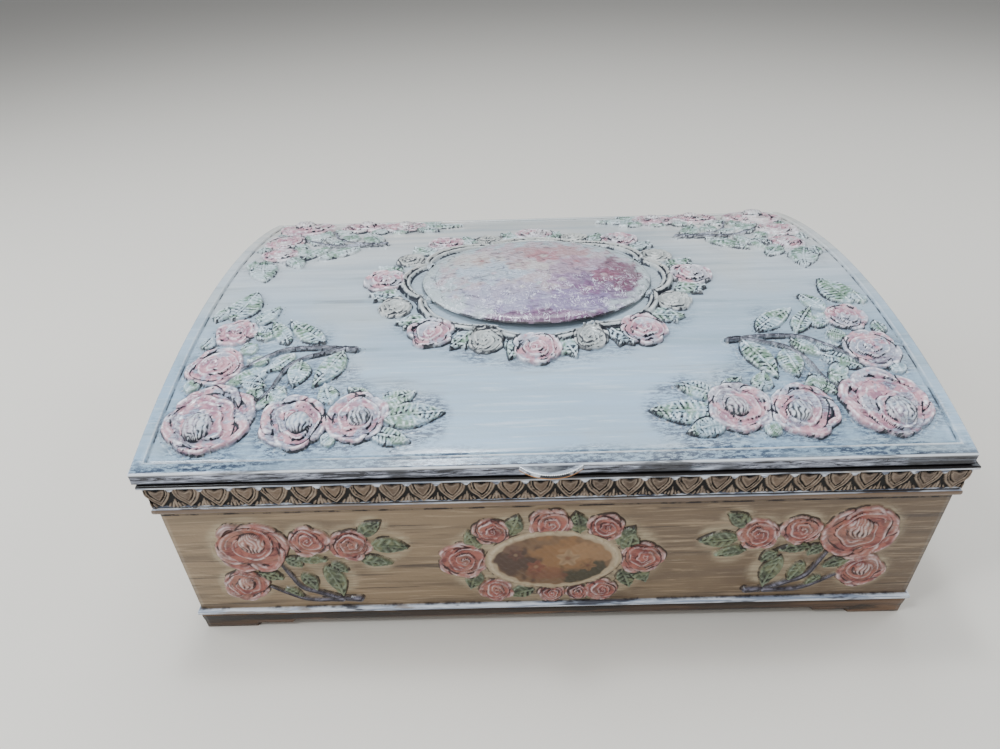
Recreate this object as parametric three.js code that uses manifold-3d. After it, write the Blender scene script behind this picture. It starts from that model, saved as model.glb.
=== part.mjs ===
// A painted cast tin jewelry box. A shallow rectangular body stands on bracket feet, with a frieze of hearts
// under its rim and roses in relief on its walls. A lift-off lid with a low barrel top carries a spray of roses
// in each corner and an oval picture plaque in a ring of scrolls and roses, with a crescent thumb tab in front.
// Millimetres, +Z up, the front faces -Y, and the origin is at the middle of the underside.
import * as THREE from 'three';
import { mergeVertices } from 'three/addons/utils/BufferGeometryUtils.js';
import Module from 'manifold-3d';

const wasm = await Module();
wasm.setup();

// Driving dimensions.
const LENGTH = 262;          // the lid, left to right
const DEPTH = 192;           // the lid, front to back
const RIM_Z = 74.6;          // top of the body's rim flange
const REST_GAP = 0.3;        // between pieces that rest on or touch each other
const LID_FASCIA = 4.6;      // height of the lid's upright edge
const LID_RISE = 13.6;       // the barrel top, from its front edge to its crown
const LID_SLIP = 1.5;        // the loose lid sits this far to the left of the body
const SHELL = 1.6;           // thickness of the lid's casting
const BORDER = 4.2;          // width of the flat border round the lid
const FIELD_DROP = 0.6;      // how far the lid's field lies below that border
const SINK = 1.2;            // how deep a relief starts inside the surface that carries it

const HALF_LENGTH = LENGTH / 2;
const HALF_DEPTH = DEPTH / 2;
const LID_Z = RIM_Z + REST_GAP;
const LID_EDGE_Z = LID_Z + LID_FASCIA;
const CROWN_Z = LID_EDGE_Z + LID_RISE;
const BARREL_RADIUS = (HALF_DEPTH ** 2 + LID_RISE ** 2) / (2 * LID_RISE);
const BARREL_STEPS = 8;

// The body's outline from its feet up: how far each level lies inside the lid's outline, and its height.
const FOOT_HEIGHT = 3.4;
const WALL_FOOT = { inset: 2.8, z: 10.8 };
const WALL_TOP = { inset: 2.2, z: 60.4 };
const FRIEZE_FOOT = { inset: 1.5, z: 63.6 };
const FRIEZE_TOP = { inset: 0.4, z: 72.6 };
const BODY_LEVELS = [
  { inset: 2.6, z: 0 },
  { inset: 2.1, z: 9.2 },
  { inset: 1.5, z: 9.6 },
  { inset: 1.7, z: 10.6 },
  WALL_FOOT,
  WALL_TOP,
  { inset: 0.7, z: 61.4 },
  { inset: 0.6, z: 63 },
  FRIEZE_FOOT,
  FRIEZE_TOP,
  { inset: -0.5, z: 73.1 },
  { inset: -0.5, z: RIM_Z },
];
const CAVITY_INSET = 4.3;    // the inner face of the walls, inside the lid's outline
const FLOOR_Z = 5.0;         // the inside of the floor
const FOOT_LENGTH = 19;      // each leg of a bracket foot
const FOOT_STEP = { length: 33, height: 1.4 };  // a lower step that runs on past the foot
const UNDERSIDE = { inset: 5, z: 3.4 };         // the hollow under the floor, inside the base

// The frieze: hearts side by side.
const HEARTS_LONG = 28;
const HEARTS_SHORT = 21;
const HEART = { width: 7.4, height: 8.4, proud: 1.4 };
const HEART_SINK = 0.3;      // how deep its sloping sides start inside the frieze

// One corner spray of the lid, measured from the lid's corner: inwards along the front edge, then towards the back.
const LID_SPRAY = {
  roses: [
    { at: [20, 15.6], radius: 14.6, height: 3.6, sides: 7, tiers: 3 },
    { at: [49, 13.9], radius: 11.4, height: 3.2, sides: 7, tiers: 2 },
    { at: [71.6, 15.8], radius: 10.2, height: 3.0, sides: 7, tiers: 2 },
    { at: [16.6, 42.2], radius: 9.4, height: 2.8, sides: 6, tiers: 2 },
    { at: [17.6, 60.6], radius: 8.4, height: 2.6, sides: 6, tiers: 2 },
  ],
  leaves: [
    { base: [77, 20.5], tip: [89, 27], width: 7 },
    { base: [78, 15], tip: [98.5, 16.4], width: 8.6 },
    { base: [75.5, 10.5], tip: [86.6, 3.4], width: 7 },
    { base: [13.5, 68], tip: [17.5, 89.5], width: 10.5 },
    { base: [22, 64], tip: [29.5, 74.4], width: 6.5 },
    { base: [53.4, 53.4], tip: [36.2, 66.8], width: 9.5 },
    { base: [61.4, 48.4], tip: [53, 29.8], width: 10 },
    { base: [46.6, 43.4], tip: [46.4, 30], width: 7.6 },
    { base: [38, 36.4], tip: [24, 28], width: 7.4 },
    { base: [60, 23.6], tip: [58, 33.4], width: 6.4 },
  ],
  stems: [
    [[67.6, 50], [52, 51.9], [39.2, 50.4], [30.6, 43.6], [22, 35]],
    [[61, 50.6], [47.6, 45.6], [41, 39.8], [37.4, 31.6], [34.6, 25]],
  ],
};

// The oval plaque and what rings it, measured from the middle of the lid.
const PLAQUE = { halfLength: 46, halfDepth: 35, rim: 1.3, rise: 2.6, sides: 24 };
const SEAT = { margin: 4.5, proud: 0.5 };
const SCROLLS = { count: 8, halfLength: 53.5, halfDepth: 42, bow: 1.6, thick: 1.7, steps: 3 };
const RING_PINK = { count: 8, halfLength: 62, halfDepth: 50.5, radius: 6.9, height: 3.2 };
const RING_CREAM = { count: 8, halfLength: 57.5, halfDepth: 47, radius: 5.2, height: 2.4 };
const RING_LEAF = { count: 16, halfLength: 58.5, halfDepth: 47.5, length: 10.5, width: 6, sway: 0.5 };

// One corner spray of the front wall: out from the middle of the box, then up from the ground.
const WALL_SPRAY = {
  roses: [
    { at: [104, 43.4], radius: 12, height: 2.8, sides: 7, tiers: 3 },
    { at: [82.9, 45.6], radius: 7, height: 2.2, sides: 6, tiers: 2 },
    { at: [68.2, 43.6], radius: 7.4, height: 2.4, sides: 6, tiers: 2 },
    { at: [108.2, 23.8], radius: 8.3, height: 2.4, sides: 6, tiers: 2 },
  ],
  leaves: [
    { base: [65.6, 48], tip: [56.6, 54.4], width: 5.8 },
    { base: [63, 42.6], tip: [47.4, 42.6], width: 7.2 },
    { base: [64.4, 38], tip: [54, 34.2], width: 5.4 },
    { base: [93.6, 27.4], tip: [102.4, 31], width: 5 },
    { base: [78.8, 36.6], tip: [69.4, 33], width: 4.4 },
    { base: [74, 16.8], tip: [78.6, 33.6], width: 7 },
    { base: [83.2, 20], tip: [86.4, 30], width: 5.6 },
  ],
  stems: [
    [[69.2, 15], [77, 16.2], [84.8, 20.4], [89.8, 26], [95, 36.4]],
    [[75.6, 14.9], [86, 15.6], [93.2, 18.8], [99.6, 23.2]],
  ],
};

// The front wall's oval field and the wreath round it, measured from the middle of the front and from the ground.
const OVAL = { centreZ: 33.8, halfLength: 22, halfHeight: 13.6, proud: 0.5, sides: 20 };
const WREATH = [
  { at: [-31, 34.8], radius: 7.9 },
  { at: [-21, 49], radius: 5.4 },
  { at: [-1.6, 52.4], radius: 6.6 },
  { at: [16.6, 50], radius: 5.8 },
  { at: [29.6, 34.6], radius: 6.9 },
  { at: [17.4, 16.8], radius: 5.3 },
  { at: [-0.4, 14.8], radius: 4.2 },
  { at: [-20.2, 18.4], radius: 5.6 },
];
const WREATH_HEIGHT = 2;
const WREATH_BUD = 6;         // a rose smaller than this is one ring of petals
const WREATH_LEAF = { length: 8.6, width: 4.6, halfLength: 26.5, halfHeight: 17.2 };
const WREATH_LEAF_TURNS = [26, 64, 112, 146, 205, 236, 304, 334];  // degrees round the oval

// The relief in the middle of each end wall: along the wall, then up from the ground.
const END_GROUP = {
  roses: [
    { at: [0, 37], radius: 10.4, height: 2.6, sides: 7, tiers: 3 },
    { at: [-19, 39], radius: 7.2, height: 2.2, sides: 6, tiers: 2 },
    { at: [19, 39], radius: 7.2, height: 2.2, sides: 6, tiers: 2 },
  ],
  leaves: [
    { base: [-25, 42], tip: [-38.5, 46], width: 7 },
    { base: [-25, 37], tip: [-40, 35], width: 7 },
    { base: [25, 42], tip: [38.5, 46], width: 7 },
    { base: [25, 37], tip: [40, 35], width: 7 },
  ],
  stems: [],
};

const STEM_THICK = 1.5;
const LEAF_HEIGHT = 1.4;
const TAB = { length: 20, reach: 4.4, thick: 1.7, topDrop: 0.5 };

// Colours, roughness and metalness as the paint and the bare metal show them.
const FINISHES = {
  wall: { color: '#a48c6c', roughness: 0.5, metalness: 0.15 },
  lid: { color: '#c3cdca', roughness: 0.4, metalness: 0.15 },
  picture: { color: '#c0a4a4', roughness: 0.25, metalness: 0 },
  silver: { color: '#8e939c', roughness: 0.35, metalness: 0.8 },
};

// A closed geometry as a solid that can be joined and cut. Triangles with no area are left out.
function solid(geometry) {
  const bare = geometry.clone();
  bare.deleteAttribute('normal');
  bare.deleteAttribute('uv');
  const merged = mergeVertices(bare, 1e-4);
  const corners = merged.index.array;
  const kept = [];
  for (let i = 0; i < corners.length; i += 3) {
    const [a, b, c] = [corners[i], corners[i + 1], corners[i + 2]];
    if (a !== b && b !== c && c !== a) kept.push(a, b, c);
  }
  const mesh = new wasm.Mesh({
    numProp: 3,
    vertProperties: new Float32Array(merged.attributes.position.array),
    triVerts: new Uint32Array(kept),
  });
  return new wasm.Manifold(mesh);
}

// A solid as a flat-shaded geometry.
function geometryOf(manifold) {
  const mesh = manifold.getMesh();
  const geometry = new THREE.BufferGeometry();
  geometry.setAttribute('position', new THREE.BufferAttribute(mesh.vertProperties, 3));
  geometry.setIndex(new THREE.BufferAttribute(mesh.triVerts, 1));
  return geometry;
}

function box(halfX, halfY, low, high) {
  const block = new THREE.BoxGeometry(2 * halfX, 2 * halfY, high - low);
  return block.translate(0, 0, (low + high) / 2);
}

// A rectangular block whose four sides follow one moulding profile, mitred at the corners.
function mouldedBlock(levels) {
  const block = new THREE.BoxGeometry(2, 2, 1, 1, 1, levels.length - 1);
  const points = block.attributes.position;
  for (let i = 0; i < points.count; i += 1) {
    const level = levels[Math.round((points.getZ(i) + 0.5) * (levels.length - 1))];
    const x = points.getX(i) * (HALF_LENGTH - level.inset);
    const y = points.getY(i) * (HALF_DEPTH - level.inset);
    points.setXYZ(i, x, y, level.z);
  }
  return block;
}

// Height of the lid's barrel surface over a point that far from the middle, front to back.
function barrelZ(y) {
  return CROWN_Z - BARREL_RADIUS + Math.sqrt(BARREL_RADIUS ** 2 - y ** 2);
}

// A block under the barrel surface, which it follows at a depth of drop.
function barrelBlock(halfX, halfY, low, drop) {
  const outline = new THREE.Shape();
  outline.moveTo(-halfY, low);
  outline.lineTo(halfY, low);
  for (let i = 0; i <= BARREL_STEPS; i += 1) {
    const y = halfY * (1 - (2 * i) / BARREL_STEPS);
    outline.lineTo(y, barrelZ(y) - drop);
  }
  const block = new THREE.ExtrudeGeometry(outline, { depth: 2 * halfX, bevelEnabled: false });
  const upright = new THREE.Matrix4().makeBasis(
    new THREE.Vector3(0, 1, 0),
    new THREE.Vector3(0, 0, 1),
    new THREE.Vector3(1, 0, 0),
  );
  return block.applyMatrix4(upright).translate(-halfX, 0, 0);
}

// A rose seen from above: rings of petals that rise in tiers to a bud, each ring turned by half a petal.
function rose({ radius, height, sides, tiers }) {
  const profile = [new THREE.Vector2(0, -SINK), new THREE.Vector2(radius, -SINK)];
  for (let tier = 0; tier < tiers; tier += 1) {
    const lip = height * (0.55 + (0.45 * (tier + 1)) / tiers);
    profile.push(new THREE.Vector2(radius * (1 - tier / (tiers + 0.35)), lip));
    if (tier < tiers - 1) {
      profile.push(new THREE.Vector2(radius * (1 - (tier + 0.62) / (tiers + 0.35)), lip - 0.22 * height));
    }
  }
  profile.push(new THREE.Vector2(0, 0.8 * height));
  const flower = new THREE.LatheGeometry(profile, sides);
  const points = flower.attributes.position;
  const ringOf = (r) => Math.round((1 - r / radius) * 2 * tiers);
  for (let i = 0; i < points.count; i += 1) {
    const r = Math.hypot(points.getX(i), points.getZ(i));
    const slice = Math.round((Math.atan2(points.getX(i), points.getZ(i)) / (2 * Math.PI)) * sides);
    const turn = ((slice + 0.5 * ringOf(r)) * 2 * Math.PI) / sides;
    const wave = r * (slice % 2 ? 1 : 0.93);
    points.setXYZ(i, wave * Math.sin(turn), points.getY(i), wave * Math.cos(turn));
  }
  return flower.rotateX(Math.PI / 2);
}

// A leaf as a low kite, widest nearer its base than its tip.
function leaf({ base, tip, width }) {
  const length = Math.hypot(tip[0] - base[0], tip[1] - base[1]);
  const outline = new THREE.Shape();
  outline.moveTo(-length / 2, 0);
  outline.lineTo(-length / 8, -width / 2);
  outline.lineTo(length / 2, 0);
  outline.lineTo(-length / 8, width / 2);
  outline.closePath();
  const blade = new THREE.ExtrudeGeometry(outline, { depth: LEAF_HEIGHT + SINK, bevelEnabled: false });
  blade.translate(0, 0, -SINK);
  blade.rotateZ(Math.atan2(tip[1] - base[1], tip[0] - base[0]));
  return blade.translate((base[0] + tip[0]) / 2, (base[1] + tip[1]) / 2, 0);
}

// A rod with four sides that follows points in the plane, lifted on to the surface.
function rod(points, thick, steps, lift) {
  const path = new THREE.CatmullRomCurve3(points.map(([x, y]) => new THREE.Vector3(x, y, lift(x, y))));
  const section = new THREE.Shape();
  for (let i = 0; i < 4; i += 1) {
    const turn = (i * Math.PI) / 2;
    const at = [thick * Math.cos(turn), thick * Math.sin(turn)];
    if (i === 0) section.moveTo(...at);
    else section.lineTo(...at);
  }
  return new THREE.ExtrudeGeometry(section, { steps, extrudePath: path });
}

// A group of roses, leaves and stems as solids on the surface that place puts them on.
function relief(group, place) {
  const flowers = group.roses.map((one) => place(rose(one), one.at));
  const blades = group.leaves.map((one) => {
    const middle = [(one.base[0] + one.tip[0]) / 2, (one.base[1] + one.tip[1]) / 2];
    return place(leaf(one).translate(-middle[0], -middle[1], 0), middle);
  });
  return [...flowers, ...blades];
}

// The lid's field tilts with the barrel, so a relief made flat is turned to lie on it.
function onLid(geometry, x, y) {
  const tilt = -Math.asin(y / BARREL_RADIUS);
  return geometry.rotateX(tilt).translate(x, y, barrelZ(y) - FIELD_DROP);
}

function lidSprays() {
  const found = [];
  for (const sideX of [-1, 1]) {
    for (const sideY of [-1, 1]) {
      const turned = ([u, v]) => [sideX * (HALF_LENGTH - u), sideY * (HALF_DEPTH - v)];
      const group = {
        roses: LID_SPRAY.roses.map((one) => ({ ...one, at: turned(one.at) })),
        leaves: LID_SPRAY.leaves.map((one) => ({ ...one, base: turned(one.base), tip: turned(one.tip) })),
      };
      found.push(...relief(group, (geometry, [x, y]) => onLid(geometry, x, y)));
      for (const points of LID_SPRAY.stems) {
        const onField = (x, y) => barrelZ(y) - FIELD_DROP + 0.2;
        found.push(rod(points.map(turned), STEM_THICK, 3, onField));
      }
    }
  }
  return found;
}

// A point on an oval, at a turn in radians from the right-hand end.
function onOval({ halfLength, halfDepth }, turn) {
  return [halfLength * Math.cos(turn), halfDepth * Math.sin(turn)];
}

function plaqueRing() {
  const found = [];
  const step = (2 * Math.PI) / RING_PINK.count;
  for (let i = 0; i < RING_PINK.count; i += 1) {
    const pink = onOval(RING_PINK, i * step);
    found.push(onLid(rose({ ...RING_PINK, sides: 6, tiers: 2 }), ...pink));
    const cream = onOval(RING_CREAM, (i + 0.5) * step);
    found.push(onLid(rose({ ...RING_CREAM, sides: 6, tiers: 1 }), ...cream));
  }
  for (let i = 0; i < RING_LEAF.count; i += 1) {
    const turn = ((i + 0.5) * 2 * Math.PI) / RING_LEAF.count;
    const middle = onOval(RING_LEAF, turn);
    const lean = turn + (i % 2 ? RING_LEAF.sway : -RING_LEAF.sway);
    const half = [(RING_LEAF.length / 2) * Math.cos(lean), (RING_LEAF.length / 2) * Math.sin(lean)];
    const blade = leaf({ base: half.map((value) => -value), tip: half, ...RING_LEAF });
    found.push(onLid(blade, ...middle));
  }
  const lift = (x, y) => barrelZ(y) - FIELD_DROP + 0.7;
  for (let i = 0; i < SCROLLS.count; i += 1) {
    const points = [-0.46, -0.25, 0, 0.25, 0.46].map((share) => {
      const turn = (i + share) * ((2 * Math.PI) / SCROLLS.count);
      const bow = SCROLLS.bow * Math.cos(share * 2 * Math.PI);
      const halfLength = SCROLLS.halfLength + bow;
      return onOval({ halfLength, halfDepth: SCROLLS.halfDepth + bow }, turn);
    });
    found.push(rod(points, SCROLLS.thick, SCROLLS.steps, lift));
  }
  return found;
}

function ovalBlock(halfX, halfY, low, high, sides) {
  const block = new THREE.CylinderGeometry(1, 1, high - low, sides).rotateX(Math.PI / 2);
  return block.scale(halfX, halfY, 1).translate(0, 0, (low + high) / 2);
}

const SEAT_Z = CROWN_Z - FIELD_DROP + SEAT.proud;

// A hollow lid. Its lip hangs inside the body's mouth, with room for the lid to slip sideways.
function lidSolid() {
  const lipOuter = CAVITY_INSET + LID_SLIP + 0.3;
  const lipInner = lipOuter + SHELL;
  const mouthX = HALF_LENGTH - lipInner;
  const mouthY = HALF_DEPTH - lipInner;
  const ledgeZ = LID_Z + SHELL;
  const lipFoot = LID_Z - 3.4;
  const field = solid(barrelBlock(HALF_LENGTH, HALF_DEPTH, LID_Z, FIELD_DROP));
  const border = solid(barrelBlock(HALF_LENGTH, HALF_DEPTH, LID_Z, 0))
    .subtract(solid(box(HALF_LENGTH - BORDER, HALF_DEPTH - BORDER, LID_Z - 1, CROWN_Z + 1)));
  const hollow = solid(barrelBlock(HALF_LENGTH - SHELL, mouthY, ledgeZ, FIELD_DROP + SHELL));
  const mouth = solid(box(mouthX, mouthY, lipFoot - 1, ledgeZ + 0.5));
  const lip = solid(box(HALF_LENGTH - lipOuter, HALF_DEPTH - lipOuter, lipFoot, LID_Z + 1));
  const seat = ovalBlock(
    PLAQUE.halfLength + SEAT.margin,
    PLAQUE.halfDepth + SEAT.margin,
    CROWN_Z - FIELD_DROP - SHELL,
    SEAT_Z,
    PLAQUE.sides,
  );
  let lid = field.add(border).add(lip);
  for (const piece of [seat, ...lidSprays(), ...plaqueRing()]) lid = lid.add(solid(piece));
  lid = lid.subtract(solid(plaqueGeometry(REST_GAP))).subtract(hollow);
  return lid.subtract(mouth);
}

// The plaque, a low oval dome with a flat foot and a small upright rim, or the room that it needs.
function plaqueGeometry(clearance) {
  const { rim, rise, sides } = PLAQUE;
  const foot = SEAT_Z + REST_GAP - clearance;
  const top = SEAT_Z + REST_GAP + clearance * 3;
  const profile = [
    [0, foot],
    [1, foot],
    [1, top + rim],
    [0.9, top + rim + 0.25 * rise],
    [0.6, top + rim + 0.75 * rise],
    [0, top + rim + rise],
  ].map(([r, z]) => new THREE.Vector2(r, z));
  const dome = new THREE.LatheGeometry(profile, sides).rotateX(Math.PI / 2);
  return dome.scale(PLAQUE.halfLength + clearance, PLAQUE.halfDepth + clearance, 1);
}

// A crescent that stands out from the lid's front edge.
function tabGeometry() {
  const half = TAB.length / 2;
  const outline = new THREE.Shape();
  const radius = (half ** 2 + TAB.reach ** 2) / (2 * TAB.reach);
  const spread = Math.asin(half / radius);
  outline.absarc(0, radius - TAB.reach, radius, -Math.PI / 2 - spread, -Math.PI / 2 + spread, false);
  outline.closePath();
  const crescent = new THREE.ExtrudeGeometry(outline, { depth: TAB.thick, bevelEnabled: false, curveSegments: 9 });
  const z = LID_EDGE_Z - TAB.topDrop - TAB.thick;
  return crescent.translate(0, -HALF_DEPTH - REST_GAP, z);
}

// A heart, as a low five-sided pyramid with its point down, full size where it leaves the surface.
function heart() {
  const { width, height, proud } = HEART;
  const spread = (0.5 * (proud + HEART_SINK)) / proud;
  const boss = new THREE.ConeGeometry(spread, proud + HEART_SINK, 5, 1).rotateX(Math.PI / 2);
  return boss.translate(0, 0, (proud - HEART_SINK) / 2).scale(width, height, 1);
}

// Turns what lies flat in X and Y upright on a wall, then round the box: 0 front, 1 right, 2 back, 3 left.
function onWall(geometry, side, along, z, inset) {
  const out = (side % 2 ? HALF_LENGTH : HALF_DEPTH) - inset;
  geometry.rotateX(Math.PI / 2).translate(along, -out, z);
  return geometry.rotateZ((side * Math.PI) / 2);
}

function frieze() {
  const found = [];
  const lean = Math.atan2(FRIEZE_FOOT.inset - FRIEZE_TOP.inset, FRIEZE_TOP.z - FRIEZE_FOOT.z);
  const inset = (FRIEZE_FOOT.inset + FRIEZE_TOP.inset) / 2;
  const middle = (FRIEZE_FOOT.z + FRIEZE_TOP.z) / 2;
  for (let side = 0; side < 4; side += 1) {
    const count = side % 2 ? HEARTS_SHORT : HEARTS_LONG;
    const pitch = (side % 2 ? DEPTH : LENGTH) / count;
    for (let i = 0; i < count; i += 1) {
      const along = (i + 0.5 - count / 2) * pitch;
      found.push(onWall(heart().rotateX(lean), side, along, middle, inset));
    }
  }
  return found;
}

const WALL_INSET = (WALL_FOOT.inset + WALL_TOP.inset) / 2;

// The back wall's sprays are the front's with fewer flowers and leaves.
const BACK_SPRAY = {
  roses: WALL_SPRAY.roses.slice(0, 3),
  leaves: WALL_SPRAY.leaves.slice(0, 3),
  stems: WALL_SPRAY.stems.slice(0, 1),
};

// One spray on a long wall, mirrored to the left or the right half as it is seen from outside.
function wallSpray(spray, side, hand) {
  const turned = ([u, v]) => [hand * u, v];
  const group = {
    roses: spray.roses.map((one) => ({ ...one, at: turned(one.at) })),
    leaves: spray.leaves.map((one) => ({ ...one, base: turned(one.base), tip: turned(one.tip) })),
  };
  const found = relief(group, (geometry, [x, z]) => onWall(geometry, side, x, z, WALL_INSET));
  for (const points of spray.stems) {
    const stem = rod(points.map(turned), STEM_THICK * 0.8, 3, () => 0.3);
    found.push(onWall(stem, side, 0, 0, WALL_INSET));
  }
  return found;
}

function frontWreath() {
  const found = [];
  const field = ovalBlock(OVAL.halfLength, OVAL.halfHeight, -SINK, OVAL.proud, OVAL.sides);
  found.push(onWall(field, 0, 0, OVAL.centreZ, WALL_INSET));
  for (const { at, radius } of WREATH) {
    const tiers = radius < WREATH_BUD ? 1 : 2;
    const flower = rose({ radius, height: WREATH_HEIGHT, sides: 6, tiers });
    found.push(onWall(flower, 0, at[0], at[1], WALL_INSET));
  }
  for (const degrees of WREATH_LEAF_TURNS) {
    const turn = THREE.MathUtils.degToRad(degrees);
    const reach = WREATH_LEAF.length / 2;
    const half = [reach * Math.cos(turn), reach * Math.sin(turn)];
    const blade = leaf({ base: half.map((value) => -value), tip: half, width: WREATH_LEAF.width });
    const x = WREATH_LEAF.halfLength * Math.cos(turn);
    const z = OVAL.centreZ + WREATH_LEAF.halfHeight * Math.sin(turn);
    found.push(onWall(blade, 0, x, z, WALL_INSET));
  }
  return found;
}

function endGroup(side) {
  return relief(END_GROUP, (geometry, [x, z]) => onWall(geometry, side, x, z, WALL_INSET));
}

// What the base loses between its feet, in two steps, so that four bracket feet are left.
function archways() {
  const steps = [
    { reach: FOOT_LENGTH, height: FOOT_HEIGHT - FOOT_STEP.height },
    { reach: FOOT_STEP.length, height: FOOT_HEIGHT },
  ];
  const found = [];
  for (const { reach, height } of steps) {
    found.push(box(HALF_LENGTH - reach, HALF_DEPTH + 5, -1, height));
    found.push(box(HALF_LENGTH + 5, HALF_DEPTH - reach, -1, height));
  }
  return found;
}

function bodySolid() {
  let body = solid(mouldedBlock(BODY_LEVELS));
  const reliefs = [
    ...frieze(),
    ...wallSpray(WALL_SPRAY, 0, -1),
    ...wallSpray(WALL_SPRAY, 0, 1),
    ...wallSpray(BACK_SPRAY, 2, -1),
    ...wallSpray(BACK_SPRAY, 2, 1),
    ...frontWreath(),
    ...endGroup(1),
    ...endGroup(3),
  ];
  for (const piece of reliefs) body = body.add(solid(piece));
  const cavity = box(HALF_LENGTH - CAVITY_INSET, HALF_DEPTH - CAVITY_INSET, FLOOR_Z, RIM_Z + 1);
  const underside = box(HALF_LENGTH - UNDERSIDE.inset, HALF_DEPTH - UNDERSIDE.inset, -1, UNDERSIDE.z);
  for (const piece of [cavity, underside, ...archways()]) body = body.subtract(solid(piece));
  return body;
}

function piece(name, geometry, finish) {
  const mesh = new THREE.Mesh(geometry, new THREE.MeshStandardMaterial(FINISHES[finish]));
  mesh.name = name;
  return mesh;
}

const body = piece('body', geometryOf(bodySolid()), 'wall');
body.position.x = LID_SLIP / 2;

const lidGroup = new THREE.Group();
lidGroup.position.x = -LID_SLIP / 2;
lidGroup.add(piece('lid', geometryOf(lidSolid()), 'lid'));
lidGroup.add(piece('picture_plaque', geometryOf(solid(plaqueGeometry(0))), 'picture'));
lidGroup.add(piece('thumb_tab', geometryOf(solid(tabGeometry())), 'silver'));

// The origin is the middle of the whole: the flange and the slipped lid end to end, the tab and the flange
// front to back.
const flange = -BODY_LEVELS.at(-1).inset;
const jewelryBox = new THREE.Group();
jewelryBox.position.set(-flange / 2, (TAB.reach + REST_GAP - flange) / 2, 0);
jewelryBox.add(body, lidGroup);

export default jewelryBox;
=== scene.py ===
# %% [markdown]
# # A painted tin jewelry box
# A low cast box with a lift-off barrel lid, covered in roses in relief. Each surface here is worked out
# with numpy, as a height over a grid or a profile carried round a rectangle, and then handed to Blender
# as a mesh. The exact solids that the frame brings are the reference for every size.

# %% Load the frame
import bpy
import numpy as np
from mathutils import Matrix, Vector


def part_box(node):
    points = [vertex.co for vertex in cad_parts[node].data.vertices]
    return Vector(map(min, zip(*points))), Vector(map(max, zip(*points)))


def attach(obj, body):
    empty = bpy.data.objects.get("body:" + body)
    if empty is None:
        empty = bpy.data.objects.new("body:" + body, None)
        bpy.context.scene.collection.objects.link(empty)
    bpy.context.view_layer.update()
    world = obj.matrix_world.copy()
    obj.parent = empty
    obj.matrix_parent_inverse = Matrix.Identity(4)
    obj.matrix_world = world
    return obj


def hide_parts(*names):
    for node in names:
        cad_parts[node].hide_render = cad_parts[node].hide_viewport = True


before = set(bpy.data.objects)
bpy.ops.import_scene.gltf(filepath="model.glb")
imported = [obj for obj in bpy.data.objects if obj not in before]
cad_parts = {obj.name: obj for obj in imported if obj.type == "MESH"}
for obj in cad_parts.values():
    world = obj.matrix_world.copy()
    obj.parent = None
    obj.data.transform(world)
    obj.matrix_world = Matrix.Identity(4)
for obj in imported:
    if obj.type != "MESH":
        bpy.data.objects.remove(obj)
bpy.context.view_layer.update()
MM = 0.001


def middle_of(node):
    """The middle of a node's box across the table, in mm."""
    low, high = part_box(node)
    return 500 * (low.x + high.x), 500 * (low.y + high.y)


LID_X, LID_Y = middle_of("lid")
BODY_X, BODY_Y = middle_of("body")
print("lid centre", LID_X, LID_Y, "body centre", BODY_X, BODY_Y)

# %% [markdown]
# ## The camera
# The view is a pinhole solved from the box's own corners, a little above the box and close to it, so that
# the far edge looks much shorter than the near one. Its axes are written as a matrix: right, up and
# backwards.

# %% Camera
YAW, PITCH, ROLL = np.radians([0.59, 34.78, -1.83])
CAMERA_AT = np.array([-13.9, -261.8, 228.6]) + [0.5 * (LID_X + BODY_X), LID_Y, 0]
FOCAL_SHARE = 0.72


def camera_axes(yaw, pitch, roll):
    """Right, up and backwards: yaw turns about the vertical, pitch looks down, roll turns about the view."""
    ahead = np.array([-np.sin(yaw) * np.cos(pitch), np.cos(yaw) * np.cos(pitch), -np.sin(pitch)])
    right = np.array([np.cos(yaw), np.sin(yaw), 0])
    up = np.cross(right, ahead)
    turned_right = np.cos(roll) * right + np.sin(roll) * up
    turned_up = -np.sin(roll) * right + np.cos(roll) * up
    return np.column_stack([turned_right, turned_up, -ahead])


lens = bpy.data.cameras.new("camera")
lens.sensor_width = 36
lens.lens = FOCAL_SHARE * lens.sensor_width
lens.clip_start = 0.01
camera = bpy.data.objects.new("camera", lens)
bpy.context.scene.collection.objects.link(camera)
pose = np.eye(4)
pose[:3, :3] = camera_axes(YAW, PITCH, ROLL)
pose[:3, 3] = CAMERA_AT * MM
camera.matrix_world = Matrix(pose.tolist())
bpy.context.scene.camera = camera
print("camera at", np.round(CAMERA_AT, 1), "lens", round(lens.lens, 2))

# %% [markdown]
# ## Small tools
# A grid of points becomes a mesh in one step: its vertices go in as one array, and its faces are worked
# out from the grid's own numbering. Each vertex also carries masks that say what is painted there, so
# that one material can paint roses, leaves and plain ground.

# %% Meshes from arrays
PAINTS = ("rose", "leaf", "stem", "cream")
# rim holds dry-brushed paint and painted highlights; crevice holds wax and painted shade.
WEARS = ("rim", "crevice", "halo", "bare")


def grid_faces(index, closed=False):
    """Four-sided faces between neighbours of a grid of vertex numbers, closed round its first axis if
    asked."""
    if closed:
        index = np.concatenate([index, index[:1]])
    corners = [index[:-1, :-1], index[1:, :-1], index[1:, 1:], index[:-1, 1:]]
    return np.stack(corners, axis=-1).reshape(-1, 4)


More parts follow.
